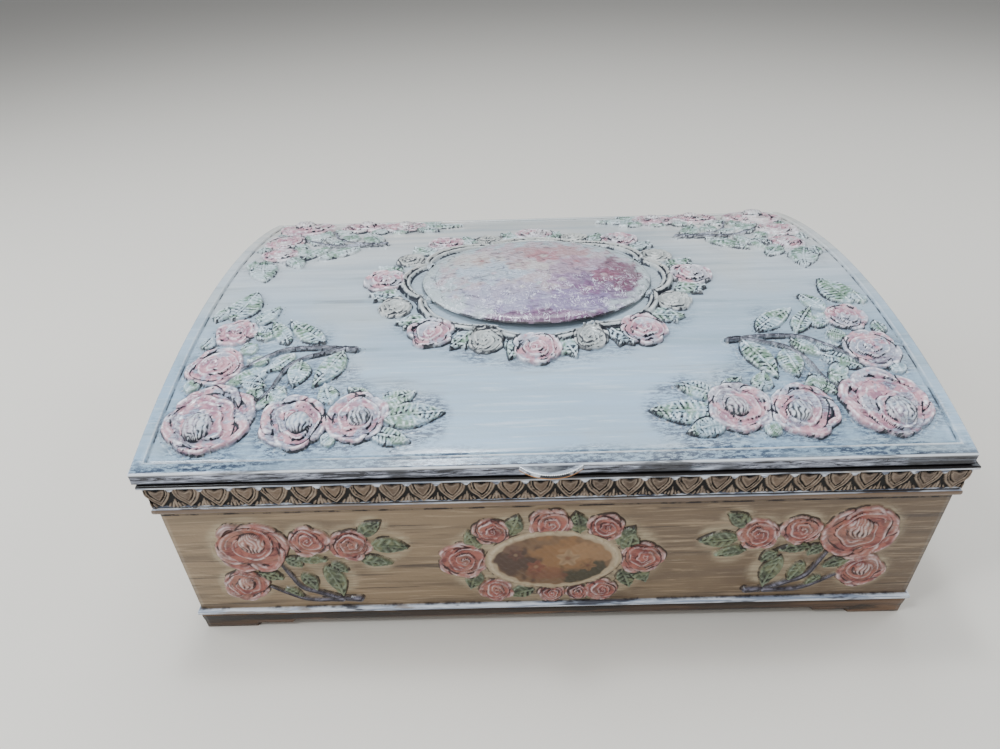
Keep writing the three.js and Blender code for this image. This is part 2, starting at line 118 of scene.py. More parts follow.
def make_piece(name, points, faces, masks=None, extra_faces=()):
    """A mesh piece from points in mm, an array of four-sided faces and a few faces with many corners."""
    mesh = bpy.data.meshes.new(name)
    corners = [faces.ravel()] + [np.asarray(face) for face in extra_faces]
    extra_sizes = [len(face) for face in extra_faces]
    sizes = np.concatenate([np.full(len(faces), faces.shape[1]), extra_sizes]).astype(int)
    corners = np.concatenate(corners).astype(np.int32)
    mesh.vertices.add(len(points))
    mesh.vertices.foreach_set("co", (np.asarray(points) * MM).astype(np.float32).ravel())
    mesh.loops.add(len(corners))
    mesh.loops.foreach_set("vertex_index", corners)
    mesh.polygons.add(len(sizes))
    mesh.polygons.foreach_set("loop_start", np.concatenate([[0], np.cumsum(sizes)[:-1]]).astype(np.int32))
    mesh.update(calc_edges=True)
    mesh.validate()
    mesh.polygons.foreach_set("use_smooth", np.ones(len(mesh.polygons), dtype=bool))
    masks = masks or {}
    for layer, names in (("paint", PAINTS), ("wear", WEARS)):
        values = [np.broadcast_to(masks.get(key, 0.0), len(points)) for key in names]
        attribute = mesh.attributes.new(layer, "FLOAT_COLOR", "POINT")
        attribute.data.foreach_set("color", np.stack(values, axis=-1).astype(np.float32).ravel())
    piece = bpy.data.objects.new(name, mesh)
    bpy.context.scene.collection.objects.link(piece)
    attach(piece, "root")
    triangles = int((sizes - 2).sum())
    print(f"{name}: {len(points)} vertices, {triangles} triangles")
    return piece


def ramp(low, high, value):
    """A smooth step from 0 below low to 1 above high: 3t^2 - 2t^3."""
    t = np.clip((value - low) / (high - low), 0, 1)
    return t * t * (3 - 2 * t)


def bump(value, width):
    """A bell: 1 at 0, falling as exp(-(value / width)^2)."""
    return np.exp(-(value / width) ** 2)


def unevenness(x, y, pitch, seed, waves=7):
    """A smooth random surface between about -1 and 1: a sum of plane waves in random directions."""
    chance = np.random.default_rng(seed)
    turn = chance.uniform(0, np.pi, waves)
    rate = 2 * np.pi / (pitch * chance.uniform(0.6, 1.6, waves))
    shift = chance.uniform(0, 2 * np.pi, waves)
    total = 0
    for i in range(waves):
        total = total + np.sin(rate[i] * (x * np.cos(turn[i]) + y * np.sin(turn[i])) + shift[i])
    return total / np.sqrt(waves)


print("masks on each vertex:", PAINTS + WEARS)


# %% [markdown]
# ## Carving
# A cast relief has no undercuts, so it is a height over a flat patch. The forms are laid down one after
# another like clay cut-outs: each replaces what lies under it, and darkens the ground just outside its
# outline with the dark wax of the old finish that stays in the crevice and with painted shade where the
# form meets the ground.

# %% The carving patch
class Carving:
    """A patch of ground in mm with heights and paint masks, at an even step."""

    PAST_FORM = 3

    def __init__(self, x_range, y_range, step):
        count_x = int(np.ceil((x_range[1] - x_range[0]) / step)) + 1
        count_y = int(np.ceil((y_range[1] - y_range[0]) / step)) + 1
        self.xs = np.linspace(*x_range, count_x)
        self.ys = np.linspace(*y_range, count_y)
        self.x, self.y = np.meshgrid(self.xs, self.ys, indexing="ij")
        self.height = np.zeros_like(self.x)
        self.near = np.zeros_like(self.x)
        self.masks = {name: np.zeros_like(self.x) for name in PAINTS + WEARS}

    def window(self, at, reach):
        """The slices within reach and 3 mm of a point, and the distances from that point."""
        reach = reach + self.PAST_FORM
        i0, i1 = np.searchsorted(self.xs, [at[0] - reach, at[0] + reach])
        j0, j1 = np.searchsorted(self.ys, [at[1] - reach, at[1] + reach])
        part = (slice(i0, i1), slice(j0, j1))
        return part, self.x[part] - at[0], self.y[part] - at[1]

    def lay(self, part, inside, height, edge=0.4, line=0.38, **masks):
        """Lay one form. inside is the distance in from its outline in mm, and is negative outside. Its height
        and masks replace the old ones across an edge that wide, and the dark line lies outside it."""
        cover = ramp(-0.5 * edge, 0.5 * edge, inside)
        outside = np.minimum(inside, 0)
        self.near[part] = np.maximum(self.near[part], bump(np.minimum(inside + 0.5, 0), 1.05))
        # The dark line outside a form is wax and painted shade where the form meets the ground.
        crevice = np.maximum(self.masks["crevice"][part], bump(outside, line))
        self.masks["crevice"][part] = crevice
        self.height[part] += cover * (height - self.height[part])
        for name in PAINTS + ("rim", "crevice"):
            old = self.masks[name][part]
            self.masks[name][part] = old + cover * (masks.get(name, 0.0) - old)


print("a form's window goes", Carving.PAST_FORM, "mm past it")

# %% [markdown]
# ## Petals, leaves and stems
# A petal is an ellipse whose outline waves a little. Its face climbs from the root to a rolled rim and
# turns over to the edge. A rose is one ring of such petals with a whorl of rolled ones inside it. The big
# roses also have an egg of a bud, off to one side, whose ribs run together at its tip and are darkest at
# its foot.

# %% Petal, bud and rose
def petal(ground, at, turn, reach, width, foot, lift, seed, tint=1.0):
    """One petal: s is the distance from its middle as a share of its waving outline. Its height is
    foot + lift * (0.15 + 0.85 s^2), with a second low fold inside the rim and a roll over the last of s."""
    chance = np.random.default_rng(seed)
    part, dx, dy = ground.window(at, 1.2 * max(reach, width))
    out = dx * np.cos(turn) + dy * np.sin(turn)
    across = dy * np.cos(turn) - dx * np.sin(turn)
    angle = np.arctan2(across / width, out / reach)
    shift = chance.uniform(0, 2 * np.pi, 4)
    wave = 1 + 0.06 * np.sin(2 * angle + shift[0]) + 0.05 * np.sin(3 * angle + shift[1])
    wave = wave + 0.025 * np.sin(7 * angle + shift[2])
    share = np.hypot(out / reach, across / width) / wave
    scale = min(reach, width)
    second = 0.66 + 0.05 * np.sin(2 * angle + shift[3])
    roll = np.maximum(share - 0.84, 0) / 0.16
    fold = bump(share - second, 0.07) * (0.5 + 0.5 * np.sin(angle + shift[1]))
    third = 0.42 + 0.07 * np.sin(3 * angle + shift[0])
    crease = bump(share - third, 0.05) * (0.5 + 0.5 * np.sin(2 * angle + shift[2]))
    height = foot + lift * (0.15 + 0.85 * share**2 - 0.45 * roll**2 + 0.3 * fold - 0.2 * crease)
    rim = bump(share - 0.89, 0.45 / scale) * (0.6 + 0.4 * np.sin(4 * angle + shift[1])) + 0.6 * fold
    rim = rim + 0.5 * bump(share - third - 0.09, 0.05) * (0.5 + 0.5 * np.sin(2 * angle + shift[2]))
    hollow = bump(share - second + 0.12, 0.07) * (0.55 + 0.45 * np.sin(angle + shift[1])) + 0.8 * crease
    dark = np.clip(0.8 * hollow, 0, 1)
    ground.lay(part, (1 - share) * scale, height, rose=tint, rim=np.clip(rim, 0, 1), crevice=dark)


def whorl(ground, at, radius, foot, height, lean, turns, arms, seed, tint=1.0):
    """The rolled heart of a rose. s is the share of a wavering outline whose middle drifts along the lean.
    The petals are the whole parts of turns * s^0.8 + arms * angle / full turn, and each climbs to its rim
    and drops."""
    chance = np.random.default_rng(seed)
    part, dx, dy = ground.window(at, 1.15 * radius)
    shift = chance.uniform(0, 2 * np.pi, 5)
    share = np.hypot(dx, dy) / radius
    for _ in range(4):
        off_x = dx - lean[0] * radius * (1 - np.minimum(share, 1))
        off_y = dy - lean[1] * radius * (1 - np.minimum(share, 1))
        angle = np.arctan2(off_y, off_x)
        wave = 1 + 0.07 * np.sin(2 * angle + shift[0]) + 0.05 * np.sin(3 * angle + shift[1])
        wave = wave + 0.035 * np.sin(5 * angle + shift[2])
        share = np.hypot(off_x, off_y) / (radius * wave)
    phase = turns * np.clip(share, 0, 1.2) ** 0.8 + arms * angle / (2 * np.pi)
    phase = phase + 0.16 * np.sin(2 * angle + 5 * share + shift[3])
    phase = phase + 0.08 * np.sin(5 * angle - 4 * share + shift[4])
    climb = phase % 1
    pitch = radius / turns
    stretch = 0.65 + 0.35 * np.sin(angle * arms + 3 * share + shift[1])
    roll = np.maximum(climb - 0.86, 0) / 0.14
    lift = (0.34 + 0.12 * share) * height
    shape = foot + height * (0.62 - 0.5 * share) + lift * (0.9 * climb**1.5 - 0.4 * roll**2)
    crease = bump(climb - 0.45 - 0.08 * np.sin(3 * angle + shift[0]), 0.06)
    crease = crease * ramp(-0.1, 0.6, np.sin(2 * angle + shift[2]))
    shape = shape - 0.12 * height * crease * share
    rim = bump(climb - 0.88, 0.24 / pitch) * (0.35 + 0.65 * stretch)
    rim = rim + 0.6 * bump(climb - 0.58, 0.07) * (crease > 0.05)
    seam = np.maximum(bump(climb, 0.2 / pitch), bump(1 - climb, 0.09 / pitch))
    dark = 0.95 * np.maximum(seam, 0.85 * crease * share)
    ground.lay(part, (1 - share) * radius * 0.9, shape, rose=tint, rim=np.clip(rim, 0, 1), crevice=dark)


def bud(ground, at, turn, length, width, foot, height, pitch, tint):
    """An egg with ribs that run together at its tip: s is the share of its outline, its height a dome with
    a cosine across for the ribs. The valleys between the ribs are dark, and darkest towards its foot."""
    part, dx, dy = ground.window(at, 1.1 * max(length, width))
    along = (dx * np.cos(turn) + dy * np.sin(turn)) / length
    across = (dy * np.cos(turn) - dx * np.sin(turn)) / width
    share = np.hypot(along, across)
    lane = across / np.sqrt(np.clip(1.2 - along**2, 0.1, None))
    jitter = 1.5 * unevenness(dx, dy, 3.6, int(abs(97 * length + 31 * at[0])))
    rib = 0.5 + 0.5 * np.cos(2 * np.pi * width / pitch * (lane + 0.3 * along**2) + 1.3 * along + jitter)
    dome = np.sqrt(np.clip(1.08 - share**2, 0, None))
    shape = foot + height * dome + 0.2 * height * rib * ramp(1.0, 0.7, share)
    inside = (1 - share) * min(length, width)
    ground.lay(part, inside, shape, rose=tint, rim=rib,
               crevice=(1 - rib) ** 1.7 * (0.3 + 0.7 * ramp(0.5, -0.6, along)))


def rose(ground, at, radius, height, seed, lean=(0, 0), kind="full", tint=1.0, heart=0.45):
    """A rose: a ring of wide petals, a whorl inside it, and a bud off to one side of the full ones.
    The small kinds have fewer petals or a ruffled whorl alone."""
    chance = np.random.default_rng(seed)
    number = {"full": 6, "small": 5, "ruffled": 7}[kind]
    start = chance.uniform(0, 2 * np.pi)
    order = chance.permutation(number)
    for i in order:
        turn = start + 2 * np.pi * (i + chance.uniform(-0.16, 0.16)) / number
        away = radius * chance.uniform(0.5, 0.58)
        place = (at[0] + away * np.cos(turn), at[1] + away * np.sin(turn))
        reach = radius * chance.uniform(0.42, 0.48)
        petal(ground, place, turn, reach, 1.25 * reach, 0.1 * height, 0.5 * height,
              int(chance.integers(1e6)), tint)
    middle = (at[0] + 0.3 * lean[0] * radius, at[1] + 0.3 * lean[1] * radius)
    if kind == "full":
        whorl(ground, middle, 0.74 * radius, 0.12 * height, 0.85 * height, lean, 2.9, 1, seed + 1, tint)
        place = (middle[0] + 0.74 * lean[0] * radius, middle[1] + 0.74 * lean[1] * radius)
        bud(ground, place, 0.5 * np.pi + chance.uniform(-0.25, 0.25), 0.36 * radius, 0.33 * radius,
            0.62 * height, 0.4 * height, 1.45, heart * tint)
    elif kind == "small":
        whorl(ground, middle, 0.76 * radius, 0.15 * height, 0.9 * height, lean, 3.0, 1, seed + 1, tint)
    else:
        whorl(ground, middle, 0.86 * radius, 0.15 * height, 0.85 * height, lean, 3.2, 3, seed + 1, tint)


def leaf(ground, base, tip, width, height, seed, veins=11, bend=0.12):
    """A leaf: t runs from base to tip along a bowed line and b across it. Its half-width is
    width / 2 * sin(pi t^0.8)^0.9, a little notched. It is domed, with a midrib and slanting side veins."""
    base, tip = np.asarray(base, float), np.asarray(tip, float)
    chance = np.random.default_rng(seed)
    length = np.hypot(*(tip - base))
    ahead = (tip - base) / length
    part, dx, dy = ground.window(0.5 * (base + tip), 0.6 * max(length, width))
    t = (dx * ahead[0] + dy * ahead[1]) / length + 0.5
    b = dy * ahead[0] - dx * ahead[1]
    bow = bend * length * chance.choice([-1, 1])
    b = b - bow * np.clip(t, 0, 1) * (1 - np.clip(t, 0, 1))
    tc = np.clip(t, 0.0, 1.0)
    half = 0.5 * width * np.sin(np.pi * tc**0.8) ** 0.9
    saw = 1 - 0.05 * ((tc * (veins + 1) + 0.3) % 1)
    share = np.minimum(np.abs(b) / np.maximum(half * saw, 1e-3), 1.3)
    beyond = np.maximum(np.maximum(-t, t - 1), 0) * length
    inside = np.where(beyond > 0, -np.hypot(beyond, b), (half * saw - np.abs(b)) * 0.85)
    lane = tc * veins - 0.75 * share * np.sign(0.6 - tc) + np.where(b > 0, 0.35, 0)
    side = bump(lane - np.round(lane), 0.19) * ramp(0.04, 0.2, share) * ramp(0.98, 0.8, share)
    mid = bump(b, 0.3) * ramp(1.0, 0.85, tc)
    groove = bump(np.abs(b) - 0.6, 0.28)
    edge = bump(inside - 0.4, 0.28)
    shape = height * (1 - 0.3 * share**2) + 0.2 * side + 0.3 * mid - 0.2 * groove + 0.25 * edge
    rim = np.clip(0.75 * mid + 0.65 * side + 0.5 * edge, 0, 1)
    valley = np.abs(lane - np.round(lane)) - 0.4
    dark = 0.5 * groove + 0.6 * bump(valley, 0.09) * ramp(0.08, 0.3, share) * ramp(1.0, 0.85, share)
    ground.lay(part, inside, shape, leaf=1.0, rim=rim, crevice=np.clip(dark, 0, 1) * (1 - mid))


def smooth_path(points, count):
    """Points along a Catmull-Rom curve through the given ones, with the share of the way to each."""
    points = np.asarray(points, float)
    points = np.concatenate([2 * points[:1] - points[1:2], points, 2 * points[-1:] - points[-2:-1]])
    spans = len(points) - 3
    where = np.linspace(0, spans - 1e-6, count)
    k = where.astype(int)
    t = (where - k)[:, None]
    p0, p1, p2, p3 = points[k], points[k + 1], points[k + 2], points[k + 3]
    curve = 0.5 * (2 * p1 + (p2 - p0) * t + (2 * p0 - 5 * p1 + 4 * p2 - p3) * t**2
                   + (3 * p1 - p0 - 3 * p2 + p3) * t**3)
    return curve, where / spans


def along_path(dx, dy, curve):
    """For each point of a window: the distance to the nearest point of a curve, its number, and the side."""
    best = np.full(dx.shape, 1e9)
    which = np.zeros(dx.shape, dtype=int)
    for k, (cx, cy) in enumerate(curve):
        distance = (dx - cx) ** 2 + (dy - cy) ** 2
        closer = distance < best
        best = np.where(closer, distance, best)
        which = np.where(closer, k, which)
    heading = np.gradient(curve, axis=0)[which]
    off_x, off_y = dx - curve[which, 0], dy - curve[which, 1]
    side = np.sign(heading[..., 0] * off_y - heading[..., 1] * off_x)
    return np.sqrt(best), which, side


def stem(ground, points, thick, seed, lift=0.6):
    """A twig: a round rod along a smooth curve, thickest at its cut first end, with long ridges of bark, two
    light lines along its sides and a dark one down its middle."""
    curve, share = smooth_path(points, 90)
    centre = curve.mean(axis=0)
    reach = np.abs(curve - centre).max() + thick
    part, dx, dy = ground.window(centre, reach)
    distance, which, side = along_path(dx, dy, curve - centre)
    radius = thick * np.interp(share, [0, 0.04, 0.1, 0.6, 1], [1.2, 1.2, 1.0, 0.85, 0.5])[which]
    offset = side * distance / radius
    bark = np.sin(6 * offset + 0.5 * np.sin(0.5 * which) + seed)
    shape = lift + 1.05 * np.sqrt(np.clip(radius**2 - distance**2, 0, None)) + 0.08 * bark
    rim = bump(np.abs(offset) - 0.62, 0.24) * (0.75 + 0.4 * np.sin(0.27 * which + seed + side))
    dark = np.clip(0.8 * bump(offset, 0.25), 0, 1)
    ground.lay(part, radius - distance, shape, stem=1.0, rim=np.clip(rim, 0, 1), crevice=dark)


print("forms: petal, whorl, bud, rose, leaf and stem")

# %% [markdown]
# ## From a patch to a mesh
# Only the cells on or near a form become faces, so that the rest of the surface can stay coarse. Past the
# forms the mesh follows the ground a hair above it, and dips under it at its very edge.

# %% Lay a patch on a surface
CLEAR, DIP, NEAR_ENOUGH = 0.035, 0.16, 0.1


def covered(ground):
    """The cells of a patch that lie on or near a form, and the grid points that those cells use."""
    near = ground.near > NEAR_ENOUGH
    cells = near[:-1, :-1] | near[1:, :-1] | near[1:, 1:] | near[:-1, 1:]
    used = np.zeros_like(near)
    for part in (np.s_[:-1, :-1], np.s_[1:, :-1], np.s_[1:, 1:], np.s_[:-1, 1:]):
        used[part] |= cells
    return cells, used


def relief_piece(name, ground, place, halo, flip=False):
    """The mesh of a patch. place turns x, y and height into points on the box, in mm."""
    cells, used = covered(ground)
    number = np.full(used.shape, -1)
    number[used] = np.arange(used.sum())
    faces = grid_faces(number)[cells.ravel()]
    if flip:
        faces = faces[:, ::-1]
    height = ground.height + CLEAR - DIP * (1 - ramp(0.06, 0.3, ground.near))
    points = place(ground.x[used], ground.y[used], height[used])
    masks = {key: value[used] for key, value in ground.masks.items()}
    masks["halo"] = halo(ground.x[used], ground.y[used])
    return make_piece(name, points, faces, masks)


def glow(total, x, y, at, reach, width):
    """Raise a mask to a bell exp(-(d / width)^2), where d is the distance outside a disc of radius reach."""
    return np.maximum(total, bump(np.maximum(np.hypot(x - at[0], y - at[1]) - reach, 0), width))


def flower_glow(x, y, roses, leaves, rose_width, leaf_width):
    """How close each point is to any of these roses and leaves, 0 to 1."""
    total = np.zeros_like(x)
    for at, radius, *_ in roses:
        total = glow(total, x, y, at, radius, rose_width)
    for base, tip, _ in leaves:
        reach = 0.4 * np.hypot(*np.subtract(tip, base))
        total = glow(total, x, y, 0.5 * np.add(base, tip), reach, leaf_width)
    return total


print("a patch stands", CLEAR, "mm off its ground and dips", DIP, "mm at its edge")

# %% [markdown]
# ## The lid's sheet
# The lid is one casting: a barrel top that is straight from end to end, a flat border with a groove
# inside it, an upright edge, and a lip underneath that drops into the body's mouth. The top is a grid of
# heights. The same grid, a little smaller and lower, is its ceiling, and loops round the edge join the
# two.

# %% The lid's measurements
LID_HALF = np.array([131.0, 96.0])
LID_Z = 74.9
EDGE_Z = 79.5
RISE = 13.6
BARREL = (LID_HALF[1] ** 2 + RISE**2) / (2 * RISE)
CROWN_Z = EDGE_Z + RISE
FIELD_DROP = 0.6
GROOVE_AT, STEP_AT = 4.4, 3.8
LIP_INSET = 6.1
LIP_Z = 71.5
SHEET = 1.6


def barrel_z(y):
    """The height of the barrel's circle, front to back."""
    return CROWN_Z - BARREL + np.sqrt(BARREL**2 - np.clip(y, -96, 96) ** 2)


def on_lid(x, y, height):
    """Points that stand off the lid's field along its own normal."""
    lean = y / BARREL
    z = barrel_z(y) - FIELD_DROP + height * np.sqrt(1 - lean**2)
    return np.stack([LID_X + x, LID_Y + y + height * lean, z], axis=-1)


def edge_lines(half, insets, step):
    """Grid lines across a rectangle's side: close together over the border and even over the field."""
    insets = np.asarray(insets)
    inner = half - insets[-1]
    field = np.linspace(-inner, inner, int(2 * inner / step) + 1)
    return np.concatenate([-half + insets[:-1], field, half - insets[-2::-1]])


BORDER_LINES = [0, 0.12, 0.3, 0.55, 0.9, 2.2, 3.2, 3.6, 3.9, 4.1, 4.3, 4.55, 4.9, 5.4]
BORDER_SHAPE = [-0.4, -0.17, -0.05, 0.0, 0.0, 0.0, 0.0, 0.14, 0.1, -0.3, -0.95, -1.0, -0.66, -0.6]
lid_x, lid_y = np.meshgrid(
    edge_lines(LID_HALF[0], BORDER_LINES, 1.7), edge_lines(LID_HALF[1], BORDER_LINES, 1.7), indexing="ij"
)


def from_edge(x, y):
    """The distance in from the lid's nearest edge."""
    return np.minimum(LID_HALF[0] - np.abs(x), LID_HALF[1] - np.abs(y))


print("lid grid", lid_x.shape, "barrel radius", round(float(BARREL), 1))

# %% [markdown]
# ## The lid's flowers
# Each corner has a spray: one big rose, two beside it along the front and two along the end, leaves that
# point outwards, and a forked twig. One list holds a corner, measured inwards from the lid's corner, and
# the other three corners mirror it with their own small differences.

# %% The corner spray's layout
CORNER_PATCH = ((5.2, 102), (5.2, 95))
WREATH_HALF = (68, 56)
CORNER_ROSES = [
    ((20.8, 20.2), 14.2, 3.9, (-0.16, -0.3), "full"),
    ((48.2, 18.0), 11.0, 3.4, (0.16, -0.12), "full"),
    ((69.0, 19.8), 10.4, 3.2, (0.1, -0.06), "full"),
    ((16.2, 44.4), 9.8, 2.9, (0.14, -0.05), "small"),
    ((18.4, 63.0), 8.0, 2.7, (0.14, 0.0), "small"),
]
CORNER_LEAVES = [
    ((75.6, 24.4), (87.6, 30.4), 7.6), ((77, 18.8), (98.4, 20), 9.4), ((74, 12.6), (86.8, 9.6), 6.6),
    ((14, 71), (19.4, 91), 11.6), ((24, 68), (31.4, 79), 7), ((52.6, 56), (36.4, 69.6), 8.0),
    ((60.4, 50.6), (52.4, 32.4), 8.6), ((46.6, 45.6), (45.8, 32.8), 8), ((43.8, 50), (35, 41), 6),
    ((35, 42), (22.6, 35.6), 7), ((43, 33), (35.4, 24.4), 6.6), ((59.6, 25.6), (56.4, 35), 7),
    ((29, 54.6), (22.6, 51.2), 6.4), ((31, 58), (26.6, 65.6), 5.4), ((58.4, 9.4), (63.4, 13.4), 5.4),
    ((33.6, 27.6), (31.4, 35.4), 6), ((8.8, 53), (10.4, 60), 5.2), ((72.6, 27.6), (64.8, 32.6), 5),
    ((26, 60), (36, 62), 6.4), ((39, 55), (30, 70), 6), ((28, 36), (36, 33), 5.6),
    ((10.5, 32), (12, 38), 5.4), ((35, 47), (27, 46), 5), ((38, 30), (46, 27), 6), ((9, 71), (10.5, 80), 5.4),
]
CORNER_STEMS = [
    ([(64.6, 51.4), (53, 52.8), (40.5, 52.4), (33, 48.4), (26.2, 42.6), (23, 39)], 0.98),
    ([(59.8, 51.6), (53.4, 50), (45.8, 47), (40.4, 40.5), (37.6, 32), (35, 27)], 0.82),
]


def corner_carving(step, seed):
    """One corner's spray on its own patch, with x inwards along the front and y inwards along the end.
    Last come a slight unevenness, a fade to nothing at the lid's border, specks of dark, and specks of
    painted highlight."""
    ground = Carving(*CORNER_PATCH, step)
    chance = np.random.default_rng(seed)
    for i, (base, tip, width) in enumerate(CORNER_LEAVES):
        wander = chance.uniform(-0.7, 0.7, 4)
        leaf(ground, np.add(base, wander[:2]), np.add(tip, wander[2:]), width * chance.uniform(1.02, 1.16),
             1.3, seed + i)
    for i, (points, thick) in enumerate(CORNER_STEMS):
        stem(ground, points, thick, seed + i)
    for i, (at, radius, height, lean, kind) in reversed(list(enumerate(CORNER_ROSES))):
        wander = chance.uniform(-0.4, 0.4, 2)
        size = radius * chance.uniform(0.98, 1.03)
        rose(ground, np.add(at, wander), size, height, seed + 50 + i, lean, kind)
    ground.height += 0.07 * unevenness(ground.x, ground.y, 4, seed) * (ground.height > 0.4)
    ground.height *= ramp(4.9, 6.4, ground.y) * ramp(4.9, 6.4, ground.x)
    ground.masks["rim"] *= 0.8 + 0.4 * unevenness(ground.x, ground.y, 2.2, seed + 3)
    ground.masks["crevice"] += 0.5 * ramp(0.7, 1.2, unevenness(ground.x, ground.y, 1.5, seed + 4))
    # Painted highlights: small glints added to the rim mask, which the flower paint turns light.
    ground.masks["rim"] += 0.5 * ramp(0.8, 1.3, unevenness(ground.x, ground.y, 1.4, seed + 5))
    for key in ("rim", "crevice"):
        ground.masks[key] = np.clip(ground.masks[key], 0, 1)
    return ground


def lid_halo(x, y):
    """How much dark wax lingers on the lid, 0 to 1: close round the sprays and the middle wreath, and along
    the front border."""
    u, v = LID_HALF[0] - np.abs(x), LID_HALF[1] - np.abs(y)
    total = flower_glow(u, v, CORNER_ROSES, CORNER_LEAVES, 5, 4.5)
    ring = np.hypot(x / WREATH_HALF[0], y / WREATH_HALF[1])
    total = np.maximum(total, bump(np.maximum(ring - 0.96, 0) * 62, 4.5))
    front = ramp(12, 2, y + LID_HALF[1]) * (0.7 + 0.35 * unevenness(x, y, 30, 15))
    total = total * (0.35 + 0.65 * ramp(-20, -85, y)) * (0.75 + 0.3 * unevenness(x, y, 18, 16))
    inside = ramp(0.86, 0.8, ring)
    return np.clip(np.maximum(total, front) * (1 - 0.85 * inside), 0, 1)


halo_on_lid = lid_halo(lid_x, lid_y)
print("halo over the lid", round(float(halo_on_lid.mean()), 3))

# %% [markdown]
# The sheet's masks say where its edge is scraped to the metal, where a groove is dark with wax and painted
# shade, where the foot of the edge is black with painted shade, and where a rim is white. The white rim is
# a painted highlight, a narrow line along the top of the edge and along the border's step.

# %% The lid's shell
def lid_shell():
    """The grid of the top, loops down the edge and round the lip, and the ceiling as the same grid turned
    over."""
    top_z = barrel_z(lid_y) + np.interp(from_edge(lid_x, lid_y), BORDER_LINES, BORDER_SHAPE)
    top_z = top_z + 0.05 * unevenness(lid_x, lid_y, 40, 5) * ramp(0, 9, from_edge(lid_x, lid_y))
    top = np.stack([lid_x, lid_y, top_z], axis=-1)
    rows, columns = lid_x.shape
    index = np.arange(rows * columns).reshape(rows, columns)
    rim = np.concatenate([index[:-1, 0], index[-1, :-1], index[:0:-1, -1], index[0, :0:-1]])
    edge = top.reshape(-1, 3)[rim]
    fascia = [(-0.04, 0.95), (0.0, 0.88), (0.04, 0.7), (0.05, 0.45), (0.03, 0.2), (0.05, 0.06), (0.35, 0.0)]
    under = [(1.2, LID_Z), (LIP_INSET, LID_Z), (LIP_INSET, LIP_Z + 0.2), (LIP_INSET + 0.2, LIP_Z),
             (LIP_INSET + SHEET, LIP_Z), (LIP_INSET + SHEET, LID_Z + 2)]
    levels = [(inset, LID_Z + share * (edge[:, 2] - LID_Z), share) for inset, share in fascia]
    levels += [(inset, np.full(len(edge), z), 0.5) for inset, z in under]
    loops = []
    for inset, z, _ in levels:
        x, y = (edge[:, :2] * (1 - inset / LID_HALF)).T
        loops.append(np.stack([x, y, z], axis=-1))
    shares = [share for *_, share in levels]
    inner = 1 - (LIP_INSET + SHEET) / LID_HALF
    ceiling_z = barrel_z(lid_y * inner[1]) - FIELD_DROP - SHEET
    ceiling = np.stack([lid_x * inner[0], lid_y * inner[1], ceiling_z], axis=-1)
    count = rows * columns
    loop_index = count + np.arange(len(loops) * len(rim)).reshape(len(loops), len(rim))
    ceiling_index = loop_index[-1, -1] + 1 + index
    bands = np.concatenate([rim[None], loop_index, ceiling_index.reshape(-1)[rim][None]])
    side = grid_faces(bands.T, closed=True)[:, ::-1]
    faces = np.concatenate([grid_faces(index), side, grid_faces(ceiling_index)[:, ::-1]])
    points = np.concatenate([top.reshape(-1, 3), *loops, ceiling.reshape(-1, 3)])
    distance = from_edge(lid_x, lid_y).reshape(-1)
    share = np.repeat(shares, len(rim))
    rest = np.zeros(count)
    front = (np.abs(lid_y + LID_HALF[1] - distance.reshape(lid_y.shape)) < 0.01).reshape(-1)
    # The groove is dark with wax and painted shade, the foot of the edge takes black painted shade, and rim
    # marks painted highlights along the top of the edge and the border's step.
    groove = bump(distance - GROOVE_AT, 0.24) * np.where(front, 0.45, 0.6)
    step_line = bump(distance - STEP_AT, 0.3) * np.where(front, 1.0, 0.4)
    masks = {
        "crevice": np.concatenate([groove, ramp(0.22, 0.1, share), rest]),
        "bare": np.concatenate([ramp(0.5, 0.1, distance), np.ones(len(share)), rest + 1]),
        "rim": np.concatenate([np.maximum(ramp(0.34, 0.1, distance), step_line),
                               ramp(0.86, 0.95, share), rest]),
        "halo": np.concatenate([halo_on_lid.reshape(-1), share, rest]),
    }
    points[:, 0] += LID_X
    points[:, 1] += LID_Y
    return points, faces, masks


lid_points, lid_faces, lid_masks = lid_shell()
lid_piece = make_piece("lid_sheet", lid_points, lid_faces, lid_masks)
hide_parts("lid")

# %% [markdown]
# The four corner patches are the same layout, mirrored. The two in front are finer, because they are seen
# from close by. A mirrored patch has its faces turned over, so that they still face outwards.

# %% Corner sprays on the lid
painted_lid = [lid_piece]
for name, side_x, side_y, step, seed in (
    ("front_left", -1, -1, 0.34, 11), ("front_right", 1, -1, 0.34, 29),
    ("back_left", -1, 1, 0.44, 47), ("back_right", 1, 1, 0.44, 71),
):
    def corner_place(u, v, height, side_x=side_x, side_y=side_y):
        """A corner's own distances turned into points on the lid."""
        return on_lid(side_x * (LID_HALF[0] - u), side_y * (LID_HALF[1] - v), height)

    def corner_halo(u, v, side_x=side_x, side_y=side_y):
        """The lid's halo at a corner's own distances."""
        return lid_halo(side_x * (LID_HALF[0] - u), side_y * (LID_HALF[1] - v))

    ground = corner_carving(step, seed)
    piece = relief_piece(f"lid_spray_{name}", ground, corner_place, corner_halo,
                         flip=side_x * side_y < 0)
    painted_lid.append(piece)

# %% [markdown]
# ## The middle wreath
# Round the picture plaque lie eight scrolls like rolled ribbons, then a ring of pink roses with cream
# rosettes between them, and leaves in the gaps. All of them are laid on one patch, from the outside in.

